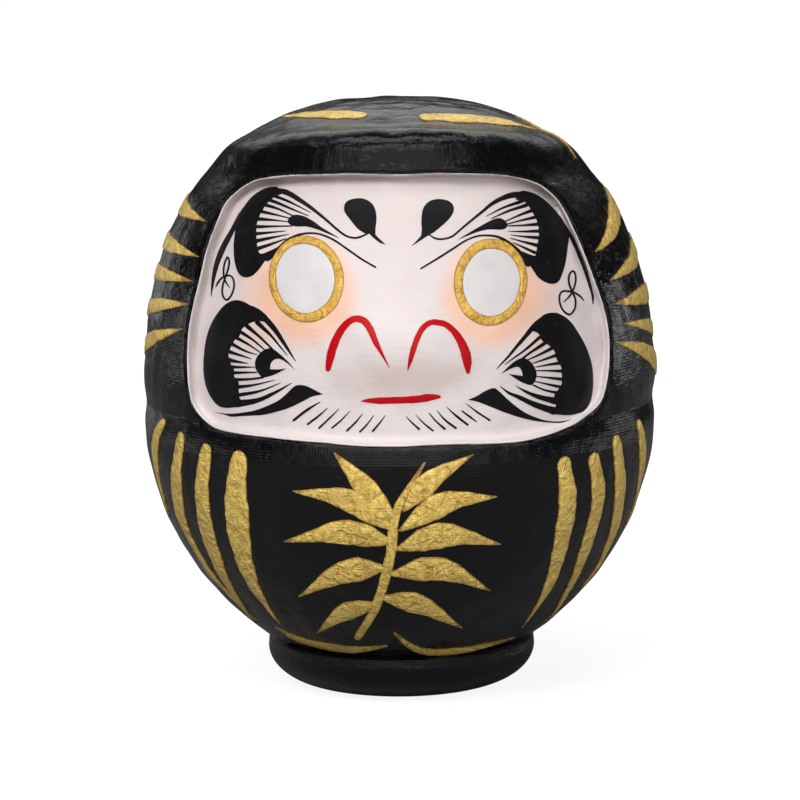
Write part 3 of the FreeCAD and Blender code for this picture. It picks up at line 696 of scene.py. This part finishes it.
def weave(p):
    """Gauze threads under the paint."""
    turn = p.sum("ARCTAN2", p.x, p.sum("MULTIPLY", p.y, -1.0))
    warp = p.sum("MULTIPLY", p.noise(p.mm, 0.12, 2.0), 3.0)
    thread = p.sum("SINE", p.sum("ADD", p.sum("MULTIPLY", turn, 560.0), warp))
    weft = p.sum("SINE", p.sum("ADD", p.sum("MULTIPLY", p.z, 560.0 / WAIST_R), warp))
    return p.sum("MAXIMUM", thread, weft)


def lacquer():
    """Black lacquer brushed over paper and gauze."""
    p = Paint("black_lacquer")
    ring, (cx, cy) = around(p)
    down = p.noise(p.join(cx, cy, p.sum("MULTIPLY", p.z, 0.16)), 1.15, 4.0, 0.62, 0.3)
    crown = p.noise(p.join(p.sum("MULTIPLY", p.x, 0.4), p.y, p.z), 0.45, 4.0, 0.6, 0.8)
    brushed = p.add("ShaderNodeMix", data_type="FLOAT")
    for socket, value in zip((0, 2, 3), (p.span(ring, 16.0, 40.0), crown, down)):
        p.put(brushed.inputs[socket], value)
    brushed = brushed.outputs[0]
    patchy = p.span(p.noise(p.mm, 0.05, 2.0), 0.35, 0.65, 0.25, 1.0)
    shoulder = p.span(p.sum("ABSOLUTE", p.sum("SUBTRACT", p.z, 82.0)), 9.0, 2.0)
    high = p.span(p.z, 110.0, 150.0, 1.0, 0.25)
    gauze = p.sum("MULTIPLY", weave(p), p.sum("MULTIPLY", high, p.sum("ADD", patchy, shoulder)))
    grain = p.noise(p.mm, 2.2, 4.0, 0.65)
    soft = p.noise(p.mm, 0.09, 3.0, 0.55)
    dents = p.noise(p.mm, 0.30, 3.0, 0.6, 0.7)
    slope = p.span(p.z, 79.0, 88.5, 1.0, 0.0)
    n = p.bump(slope, 2.6, 1.0)
    n = p.bump(soft, 2.4, 0.42, n)
    n = p.bump(dents, 1.0, 0.30, n)
    n = p.bump(brushed, 0.36, 0.42, n)
    n = p.bump(gauze, 0.07, 0.34, n)
    n = p.bump(grain, 0.08, 0.16, n)
    worn = p.span(p.noise(p.mm, 0.35, 5.0, 0.7), 0.62, 0.78)
    colour = p.mix(p.sum("MULTIPLY", worn, 0.5), (0.0022, 0.0022, 0.0028), (0.008, 0.0076, 0.0076))
    rough = p.sum("ADD", p.span(brushed, 0.3, 0.75, 0.08, 0.20), p.sum("MULTIPLY", worn, 0.10))
    return p.finish(colour, rough, n, coat=0.10, coat_rough=0.10)


def gold(name, tone):
    """Bronze powder paint: brush streaks and low wrinkles, with the gauze showing through. Its colour holds
    painted light: lighter on the raised streaks, painted shade in the folds and along the edges, and painted
    glints.
    """
    p = Paint(name)
    dark, light, crease_shade, painted_glint, edge = [tuple(t * v for t, v in zip(tone, c)) for c in (
        (0.74, 0.455, 0.085), (1.0, 0.78, 0.255), (0.60, 0.36, 0.070), (1.0, 0.90, 0.48), (0.30, 0.17, 0.04))]
    streak = p.noise(p.join(p.x, p.y, p.sum("MULTIPLY", p.z, 0.30)), 0.95, 4.0, 0.65, 0.7)
    wrinkle = p.noise(p.mm, 0.24, 4.0, 0.6, 1.1)
    flake = p.noise(p.mm, 3.0, 3.0, 0.7)
    cloth = weave(p)
    n = p.bump(wrinkle, 2.6, 0.85)
    n = p.bump(streak, 0.6, 0.8, n)
    n = p.bump(cloth, 0.07, 0.45, n)
    n = p.bump(flake, 0.10, 0.5, n)
    # Lighter on the raised streaks: partly the paint's own tone, partly painted highlight.
    colour = p.mix(p.span(streak, 0.32, 0.68), dark, light)
    # Painted shade in the low folds of the wrinkles.
    colour = p.mix(p.span(wrinkle, 0.50, 0.30, 0.0, 0.75), colour, crease_shade)
    # Painted glints where the flakes stand out.
    colour = p.mix(p.span(flake, 0.60, 0.75, 0.0, 0.7), colour, painted_glint)
    inward = p.add("ShaderNodeAttribute", attribute_name="rim").outputs["Fac"]
    # Painted shade along the raised edges of each stroke, darkest at the rim.
    edge_shade = p.span(p.sum("ADD", inward, p.sum("MULTIPLY", streak, 0.5)), 0.75, 0.25, 0.0, 0.8)
    colour = p.mix(edge_shade, colour, edge)
    rough = p.sum("ADD", p.span(flake, 0.3, 0.7, 0.38, 0.24), p.span(wrinkle, 0.3, 0.7, 0.06, -0.02))
    return p.finish(colour, rough, n, metal=0.22, coat=0.2, coat_rough=0.25)


def face_white():
    """Chalk white with a peach bloom sprayed round the eyes; the rose tint towards the brow and under the nose
    is partly painted shade.
    """
    p = Paint("face_white")
    stroke = p.noise(p.join(p.sum("MULTIPLY", p.x, 0.08), p.sum("MULTIPLY", p.y, 0.3), p.z), 1.6, 4.0, 0.6)
    cloud = p.noise(p.mm, 0.12, 3.0)
    grain = p.noise(p.mm, 3.0, 3.0, 0.6)
    colour = p.mix(p.span(stroke, 0.35, 0.7, 0.0, 0.6), (0.575, 0.510, 0.502), (0.620, 0.560, 0.552))
    # Rose tint rising towards the brow, darker there as painted shade under the brow roll.
    pink_and_brow_shade = p.sum("MULTIPLY", p.span(p.z, 118.0, 158.0), p.span(cloud, 0.2, 0.8, 0.5, 0.85))
    colour = p.mix(pink_and_brow_shade, colour, (0.495, 0.425, 0.412))
    # Rose patch just under the nose: partly its tint, partly painted shade cast by the nose.
    nose_tint_and_shade = p.spot(0, 104, 12, 3.5, 0.9)
    colour = p.mix(p.sum("MULTIPLY", nose_tint_and_shade, 0.35), colour, (0.64, 0.46, 0.41))
    for x, z, hx, hz, soft, weight in ((-27, 128, 11.5, 12, 0.45, 0.9), (27, 127, 11.5, 12, 0.45, 0.9),
                                       (-41, 124, 3.5, 9, 1.2, 0.45), (41, 123, 3.5, 9, 1.2, 0.45)):
        glow = p.sum("MULTIPLY", p.spot(x, z, hx, hz, soft), p.span(cloud, 0.25, 0.75, 0.75 * weight, weight))
        colour = p.mix(glow, colour, (0.70, 0.40, 0.27))
    dust = p.span(p.noise(p.mm, 0.9, 5.0, 0.7), 0.6, 0.8, 0.0, 0.22)
    colour = p.mix(dust, colour, (0.55, 0.50, 0.47))
    n = p.bump(cloud, 1.6, 0.25)
    n = p.bump(stroke, 0.22, 0.35, n)
    n = p.bump(grain, 0.06, 0.3, n)
    rough = p.span(stroke, 0.3, 0.7, 0.42, 0.56)
    return p.finish(colour, rough, n, coat=0.12, coat_rough=0.3, scatter=0.08)


def eye_white():
    p = Paint("eye_white")
    grain = p.noise(p.mm, 2.2, 3.0, 0.6)
    cloud = p.noise(p.mm, 0.2, 3.0)
    dust = p.span(p.noise(p.mm, 1.0, 5.0, 0.7), 0.6, 0.8, 0.0, 0.15)
    colour = p.mix(p.span(cloud, 0.3, 0.7), (0.545, 0.520, 0.515), (0.510, 0.490, 0.486))
    colour = p.mix(dust, colour, (0.52, 0.50, 0.485))
    n = p.bump(grain, 0.05, 0.25, p.bump(cloud, 0.8, 0.3))
    return p.finish(colour, p.span(cloud, 0.3, 0.7, 0.36, 0.5), n, coat=0.1, coat_rough=0.25, scatter=0.05)


def thin_paint(name, dark, light, rough_low, rough_high, coat):
    """Brushed ink or colour: streaks, thin spots and a satin skin."""
    p = Paint(name)
    streak = p.noise(p.mm, 0.9, 4.0, 0.65, 0.8)
    grain = p.noise(p.mm, 4.0, 3.0, 0.6)
    thin = p.span(streak, 0.58, 0.78, 0.0, 0.8)
    n = p.bump(streak, 0.12, 0.4)
    n = p.bump(grain, 0.04, 0.3, n)
    rough = p.span(streak, 0.3, 0.7, rough_low, rough_high)
    return p.finish(p.mix(thin, dark, light), rough, n, coat=coat, coat_rough=0.2, shine=0.22)


def fibres(name, dark, light, speck, rough, depth):
    """Paper, card or clay: fibres, specks and a matt skin."""
    p = Paint(name)
    wool = p.noise(p.mm, 0.7, 6.0, 0.68, 1.8)
    cloud = p.noise(p.mm, 0.07, 3.0)
    pits = p.cells(p.mm, 0.9)
    colour = p.mix(p.span(wool, 0.35, 0.65), dark, light)
    colour = p.mix(p.span(cloud, 0.35, 0.7, 0.0, 0.45), colour, dark)
    colour = p.mix(p.span(p.noise(p.mm, 1.5, 5.0, 0.75), 0.66, 0.76, 0.0, 0.8), colour, speck)
    n = p.bump(wool, depth, 0.7)
    n = p.bump(pits, 0.5 * depth, 0.4, n)
    return p.finish(colour, p.span(wool, 0.3, 0.7, rough - 0.08, rough + 0.06), n, sheen=0.1)


LOOKS = {
    "black_lacquer": lacquer(),
    "gold_paint": gold("gold_paint", (1.0, 0.98, 0.88)),
    "ring_gold": gold("ring_gold", (0.84, 0.70, 0.50)),
    "face_white": face_white(),
    "eye_white": eye_white(),
    "black_ink": thin_paint("black_ink", (0.004, 0.004, 0.005), (0.030, 0.028, 0.028), 0.36, 0.55, 0.05),
    "red_paint": thin_paint("red_paint", (0.38, 0.002, 0.005), (0.47, 0.009, 0.012), 0.28, 0.42, 0.1),
    "bare_pulp": fibres("bare_pulp", (0.34, 0.27, 0.20), (0.55, 0.47, 0.37), (0.16, 0.12, 0.09), 0.86, 0.5),
    "clay": fibres("clay", (0.20, 0.115, 0.07), (0.33, 0.20, 0.13), (0.10, 0.06, 0.04), 0.9, 0.8),
    "card": fibres("card", (0.40, 0.30, 0.19), (0.52, 0.42, 0.29), (0.20, 0.14, 0.09), 0.84, 0.35),
}


def place(obj, look, *nodes, slot=None):
    obj.data.materials.clear()
    obj.data.materials.append(LOOKS[look])
    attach(obj, "root")
    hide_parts(*nodes)
    return obj


# ---- pulp shell ------------------------------------------------------------------------------------

def pulp_shell():
    verts, quads = net(SKIN_LOW, SKIN_HIGH, SKIN_STEP)
    verts = settle(verts, 6)
    within = np.clip(-2.5 * outline_distance(verts[:, 0], verts[:, 2]), 0, 1)
    under_coat = np.where(verts[:, 1] < 0, within, 0)
    facing = slope_of(verts, 0.6)
    verts -= facing / np.linalg.norm(facing, axis=1)[:, None] * (UNDER_COAT * under_coat)[:, None]
    mesh = bmesh.new()
    spots = [mesh.verts.new(v) for v in verts]
    for q in quads:
        mesh.faces.new([spots[i] for i in q])
    everything = mesh.verts[:] + mesh.edges[:] + mesh.faces[:]
    bmesh.ops.bisect_plane(mesh, geom=everything, dist=1e-4, plane_co=(0, 0, JOIN_Z), plane_no=(0, 0, 1),
                           clear_inner=True)
    mesh.verts.index_update()
    outer = np.array([v.co for v in mesh.verts])
    faces = [[v.index for v in f.verts] for f in mesh.faces]
    rim = []
    for e in mesh.edges:
        if len(e.link_faces) == 1:
            loop = next(l for l in e.link_faces[0].loops if l.edge == e)
            rim.append((loop.vert.index, loop.link_loop_next.vert.index))
    mesh.free()
    way = slope_of(outer, 1.2)
    way /= np.linalg.norm(way, axis=1)[:, None]
    inner = outer - WALL * way
    low_edge = outer[:, 2] < JOIN_Z + 0.01
    inner[:, 2] = np.where(low_edge, JOIN_Z, np.maximum(inner[:, 2], JOIN_Z))
    n = len(outer)
    faces += [[v + n for v in reversed(f)] for f in faces]
    faces += [[b, a, a + n, b + n] for a, b in rim]
    obj = make_object("pulp_shell", np.vstack([outer, inner]), faces)
    normal = slope_of(outer)
    normal /= np.linalg.norm(normal, axis=1)[:, None]
    obj.data.normals_split_custom_set_from_vertices(np.vstack([normal, -way]).tolist())
    return obj


place(pulp_shell(), "black_lacquer", "front_shell", "rear_shell")

# ---- face ------------------------------------------------------------------------------------------

place(applique("face_ground", [FACE_LOOP], front_map, 0.0, 0.30, step=1.3, shoulder=0.4,
               insets=(0.1, 0.2, 0.32, 0.45, 0.6, 0.78, 1.0, 1.25, 1.6, 2.1, 2.8)), "face_white", "face_coat")
for side, (centre, half, inner_centre, inner_half) in EYES.items():
    ring_outer, ring_inner = oval(centre, half, 90, 0.004), oval(inner_centre, inner_half, 80, 0.006)
    blank = oval(inner_centre, (inner_half[0] + 0.5, inner_half[1] + 0.5), 80)
    white = applique(side + "_eye_blank", [blank], front_map, 0.24, 0.42, step=1.3, shoulder=1.5)
    place(white, "eye_white", side + "_eye_white")
    ring = applique(side + "_eye_band", [ring_outer], front_map, 0.26, 0.72, [ring_inner], 0.8, 1.0, 0.03)
    place(ring, "ring_gold", side + "_eye_ring", slot="gold_paint")


def pieces(path, halves):
    """A stroke that crosses itself, cut into short strokes that overlap at their ends."""
    line = smooth(path, 4)
    wide = np.interp(np.linspace(0, 1, len(line)), np.linspace(0, 1, len(halves)), halves)
    return [(line[i:i + 6], 1.5 * wide[i:i + 6]) for i in range(0, len(line) - 2, 4)]


def marks(name, look, node, fills, strokes, high=0.48):
    loops = [patch(f) for f in fills] + [brush(path, halves, wobble=0.05) for path, halves in strokes]
    obj = applique(name, loops, front_map, 0.33, high, step=0.9, shoulder=0.35)
    place(obj, look, node)


marks("right_crane_brow", "black_ink", "right_brow", [R_lobe, R_drop, R_speck], R_brow_b)
marks("left_crane_brow", "black_ink", "left_brow", [L_lobe, L_drop, L_speck], L_brow_b)
marks("right_cheek_whisker", "black_ink", "right_whisker", [R_whisk, R_comma, R_blade], R_whisk_b)
marks("left_cheek_whisker", "black_ink", "left_whisker", [L_whisk, L_comma, L_blade], L_whisk_b)
marks("chin_hairs", "black_ink", "chin_whiskers", [], chin_b + chin2_b)
marks("nose_lines", "red_paint", "nose_strokes", [], nose_b + nose2_b, 0.5)
marks("mouth_line", "red_paint", "mouth_stroke", [], mouth_b, 0.5)
ear_parts = [part for path, halves in ear_b + ear2_b for part in pieces(path, halves)]
marks("ear_loops", "black_ink", "ear_curls", [], ear_parts)

# ---- gold brushwork ----------------------------------------------------------------------------------

# Strokes round the sides: (turn in degrees from the front, z), then half widths in mm.
HOOD_RIGHT = [([(-97, 149.5), (-87, 148.2), (-72, 147.2), (-59, 146)], [2.2, 2.6, 1.5, 0.1]),
              ([(-98, 138), (-87, 137.6), (-70, 137.2), (-56, 136)], [2.2, 2.6, 1.7, 0.1]),
              ([(-98, 127.6), (-86, 128.2), (-70, 129), (-56, 129)], [2.2, 2.6, 1.8, 0.1]),
              ([(-98, 115.2), (-86, 117.2), (-68, 120.6), (-55.8, 122.3)], [2.2, 2.6, 1.8, 0.1]),
              ([(-98, 102.5), (-86, 105.6), (-70, 110.8), (-56.5, 115)], [2.2, 2.9, 2.0, 0.1])]
HOOD_LEFT = [([(98, 151), (88, 149), (77, 145.4), (65, 140.4), (55, 136.6)], [2.2, 2.8, 3.2, 1.9, 0.1]),
             ([(98, 136.5), (88, 134.8), (78, 132), (67, 129.8), (58, 128)], [2.2, 2.6, 2.6, 1.5, 0.1]),
             ([(98, 120.5), (88, 120.4), (79, 120.8), (67, 121), (58, 121)], [2.2, 2.8, 2.9, 1.6, 0.1]),
             ([(98, 106.5), (88, 109), (80, 111.2), (69, 113.4), (60, 115)], [2.0, 2.3, 2.3, 1.3, 0.1]),
             ([(98, 95), (88, 98), (79, 101.8), (67, 106.6), (56, 110)], [2.4, 3.2, 3.2, 1.9, 0.1])]
ROBE_RIGHT = [([(-65, 85.5), (-69.5, 80), (-73, 73), (-74.5, 64), (-76, 55)], [1.6, 2.8, 3.1, 1.9, 0.2]),
              ([(-56, 82.5), (-60, 70), (-63.5, 60), (-65, 51), (-63, 37), (-60, 24)],
                [2.2, 3.2, 3.7, 3.5, 2.2, 0.2]),
              ([(-46.6, 80.5), (-50.5, 66), (-53.5, 52), (-56, 40), (-60, 29), (-65, 22)],
                [2.2, 3.4, 4.2, 3.4, 2.0, 0.2]),
              ([(-36.8, 79), (-40, 62), (-42.5, 48), (-44, 36), (-44, 25)], [2.8, 4.8, 4.2, 2.8, 0.2])]
ROBE_LEFT = [([(38, 76.5), (40.8, 63), (42.2, 50), (44.6, 36), (47, 23)], [2.4, 3.7, 3.5, 2.3, 0.2]),
             ([(47, 76.5), (51, 64), (52.8, 48), (56.5, 35), (63, 22)], [2.2, 3.2, 3.2, 2.3, 0.2]),
             ([(55, 80.5), (60, 65), (65.5, 50), (68, 42), (67, 32)], [2.2, 3.2, 3.1, 2.3, 0.2]),
             ([(66, 83.5), (69, 77), (72, 69), (75, 60), (75.5, 50)], [1.8, 2.8, 3.0, 2.0, 0.2])]
CROWN = [([(-11.5, -27.5), (-18, -23), (-27, -15), (-35, -4)], [2.6, 3.0, 2.3, 0.2]),
         ([(9, -30), (20, -26.2), (31, -20.4), (42, -11.5)], [2.5, 3.1, 2.6, 0.2]),
         ([(36, -3), (46, -8), (53.5, -14.5)], [0.2, 1.4, 0.2])]
HEM = [([(-37.8, 23), (-33, 20.6), (-28, 19), (-20, 18), (-12.7, 18), (-4.3, 20)],
       [0.3, 1.0, 1.3, 1.5, 1.2, 0.2]),
       ([(-2, 25), (3, 19.6), (9, 16.9), (21, 16.9), (34, 18.7)], [0.3, 1.1, 1.3, 1.2, 0.2])]
# Belly spray on the front: stem, then leaves as root, middle, tip and half width.
STEM = ([(-13, 23), (-7, 36), (-3, 52), (-1, 66), (7, 80)], [1.1, 1.4, 1.5, 1.3, 0.3])
LEAVES = [((-2, 60), (-15, 69), (-31, 71), 3.6), ((-2, 56), (-17, 59), (-34, 55), 3.9),
          ((-4, 48), (-17, 46), (-30, 37), 3.8), ((-1, 62), (-11, 74), (-19, 83), 3.2),
          ((0, 60), (13, 68), (28, 69), 3.6), ((-1, 54), (13, 58), (29, 54), 4.0),
          ((-3, 46), (12, 47), (26, 39), 3.9), ((-6, 38), (6, 35), (18, 26), 3.4),
          ((1, 66), (9, 75), (21, 82), 3.2), ((-7, 36), (-17, 32), (-25, 24), 3.0)]


def gilding(name, node, strokes, mapping, turned=False):
    loops = []
    for path, halves in strokes:
        path = [(a * TURN, z) for a, z in path] if turned else path
        loops.append(brush(path, halves, 8, 0.08))
    obj = applique(name, loops, mapping, 0.0, 0.45, step=1.0, shoulder=1.2, ripple=0.07)
    place(obj, "gold_paint", node)


gilding("right_hood_strokes", "right_hood_lines", HOOD_RIGHT, side_map, True)
gilding("left_hood_strokes", "left_hood_lines", HOOD_LEFT, side_map, True)
gilding("right_robe_strokes", "right_robe_lines", ROBE_RIGHT, side_map, True)
gilding("left_robe_strokes", "left_robe_lines", ROBE_LEFT, side_map, True)
gilding("crown_strokes", "crown_lines", CROWN, top_map)
gilding("hem_strokes", "hem_lines", HEM, front_map)
PRESS = (0.14, 0.5, 0.86, 1.0, 0.94, 0.74, 0.5, 0.26, 0.03)
spray = [STEM] + [([root, middle, tip], [wide * k for k in PRESS]) for root, middle, tip, wide in LEAVES]
leaves = [applique("leaf", [brush(path, halves, 8, 0.07)], front_map, 0.05 * k % 0.2, 0.5 + 0.05 * (k % 4),
                   step=1.0, shoulder=1.3, ripple=0.08) for k, (path, halves) in enumerate(spray)]
place(gather("belly_spray", leaves), "gold_paint", "belly_ornament")

# ---- inner pieces and foot keep their CAD form ----------------------------------------------------------

for node, look in (("foot_dish", "black_lacquer"), ("seam_strip", "bare_pulp"), ("clay_weight", "clay"),
                   ("base_card", "card")):
    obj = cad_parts[node]
    obj.data.materials.clear()
    obj.data.materials.append(LOOKS[look])

# ---- stage ---------------------------------------------------------------------------------------------

def floor():
    """Pale floor, wide enough to reach past the picture; its glow, seen only by the camera, dims near the doll
    as painted shade.
    """
    verts, faces = [(-12, -8, 0), (12, -8, 0), (12, 16, 0), (-12, 16, 0)], [(0, 1, 2, 3)]
    mesh = bpy.data.meshes.new("floor")
    mesh.from_pydata(verts, [], faces)
    obj = bpy.data.objects.new("floor", mesh)
    bpy.context.collection.objects.link(obj)
    p = Paint("pale_paper")
    grain = p.noise(p.mm, 0.05, 4.0)
    shader = p.add("ShaderNodeBsdfDiffuse")
    p.put(shader.inputs["Color"], p.mix(p.span(grain, 0.3, 0.7), (0.14, 0.14, 0.14), (0.17, 0.17, 0.17)))
    glow = p.add("ShaderNodeEmission")
    p.put(glow.inputs["Color"], (1.0, 1.0, 1.0))
    camera = p.add("ShaderNodeLightPath").outputs["Is Camera Ray"]
    # The camera-only glow dims towards the doll: painted shade on the floor round its foot.
    away = p.span(p.vector("LENGTH", p.mm), 60.0, 170.0, FLOOR_GLOW, 1.0)
    p.put(glow.inputs["Strength"], p.sum("MULTIPLY", camera, away))
    both = p.add("ShaderNodeAddShader")
    p.put(both.inputs[0], shader.outputs[0])
    p.put(both.inputs[1], glow.outputs[0])
    out = p.add("ShaderNodeOutputMaterial")
    p.put(out.inputs["Surface"], both.outputs[0])
    obj.data.materials.append(p.mat)


# Glow level of the floor next to the doll, lowered as painted shade.
FLOOR_GLOW = 0.89
SKY = 1.1
CAMERA_ROLL = -0.48
floor()


LAMP_AIM = Vector((0, 0, 0.1))


def lamp(name, place_at, size, power):
    data = bpy.data.lights.new(name, "AREA")
    data.shape = "RECTANGLE"
    data.size, data.size_y = size
    data.energy = power
    obj = bpy.data.objects.new(name, data)
    bpy.context.collection.objects.link(obj)
    obj.location = place_at
    way = LAMP_AIM - Vector(place_at)
    obj.rotation_euler = way.to_track_quat("-Z", "Y").to_euler()
    return obj


# The panels that light the colours don't mirror in the lacquer. The strips that do add little light.
lamp("soft_key", (-0.6, -1.3, 1.25), (1.2, 0.9), 33.0).visible_glossy = False
lamp("soft_fill", (1.1, -1.7, 0.5), (1.5, 1.0), 18.5).visible_glossy = False
lamp("top_strip", (0.0, -0.30, 1.35), (1.7, 0.40), 4.0)
lamp("mid_strip", (0.0, -1.25, 1.25), (1.7, 0.30), 2.3)
lamp("right_panel", (1.60, 0.75, 0.15), (0.45, 0.4), 1.6)
lamp("left_panel", (-0.9, 1.55, 0.12), (0.5, 0.5), 0.55)
lamp("left_window", (-1.70, 0.60, 0.20), (0.35, 0.35), 0.9)

world = bpy.data.worlds.new("studio")
bpy.context.scene.world = world
world.use_nodes = True
tree = world.node_tree
back = tree.nodes["Background"]
back.inputs["Color"].default_value = (1, 1, 1, 1)
way = tree.nodes.new("ShaderNodeTexCoord").outputs["Generated"]
parts = tree.nodes.new("ShaderNodeSeparateXYZ")
tree.links.new(way, parts.inputs[0])


def band(value, low_in, high_in, low_out, high_out):
    node = tree.nodes.new("ShaderNodeMapRange")
    node.interpolation_type = "SMOOTHSTEP"
    tree.links.new(value, node.inputs["Value"])
    for key, v in (("From Min", low_in), ("From Max", high_in), ("To Min", low_out), ("To Max", high_out)):
        node.inputs[key].default_value = v
    return node.outputs["Result"]


def combine(kind, a, b):
    node = tree.nodes.new("ShaderNodeMath")
    node.operation = kind
    for socket, v in zip(node.inputs, (a, b)):
        if isinstance(v, bpy.types.NodeSocket):
            tree.links.new(v, socket)
        else:
            socket.default_value = v
    return node.outputs[0]


# Dark room with a dim front and a bright wall high up behind; only the camera sees it plain white.
front = band(parts.outputs["Y"], -0.85, -0.55, 0.55, 0.02)
behind = combine("MULTIPLY", band(parts.outputs["Z"], 0.28, 0.42, 0.0, SKY),
                 band(parts.outputs["Y"], 0.30, 0.50, 0.0, 1.0))
across = combine("ABSOLUTE", parts.outputs["X"], 0.0)
ceiling = combine("MULTIPLY", behind, band(across, 0.35, 0.7, 1.0, 0.15))
seen = tree.nodes.new("ShaderNodeLightPath").outputs["Is Camera Ray"]
hidden = combine("SUBTRACT", 1.0, seen)
level = combine("ADD", combine("MULTIPLY", combine("ADD", ceiling, front), hidden), seen)
tree.links.new(level, back.inputs["Strength"])

bpy.context.scene.view_settings.view_transform = "Standard"
bpy.context.scene.view_settings.look = "None"

camera = bpy.data.objects.new("camera", bpy.data.cameras.new("camera"))
bpy.context.collection.objects.link(camera)
camera.data.sensor_width = 36.0
camera.data.lens = 176.2
camera.location = (0.0, -1.18824, 0.25763)
turn = (Vector((0.00015, 0, 0.0872)) - camera.location).to_track_quat("-Z", "Y")
turn = turn @ Quaternion((0, 0, 1), math.radians(CAMERA_ROLL))
camera.rotation_euler = turn.to_euler()
bpy.context.scene.camera = camera
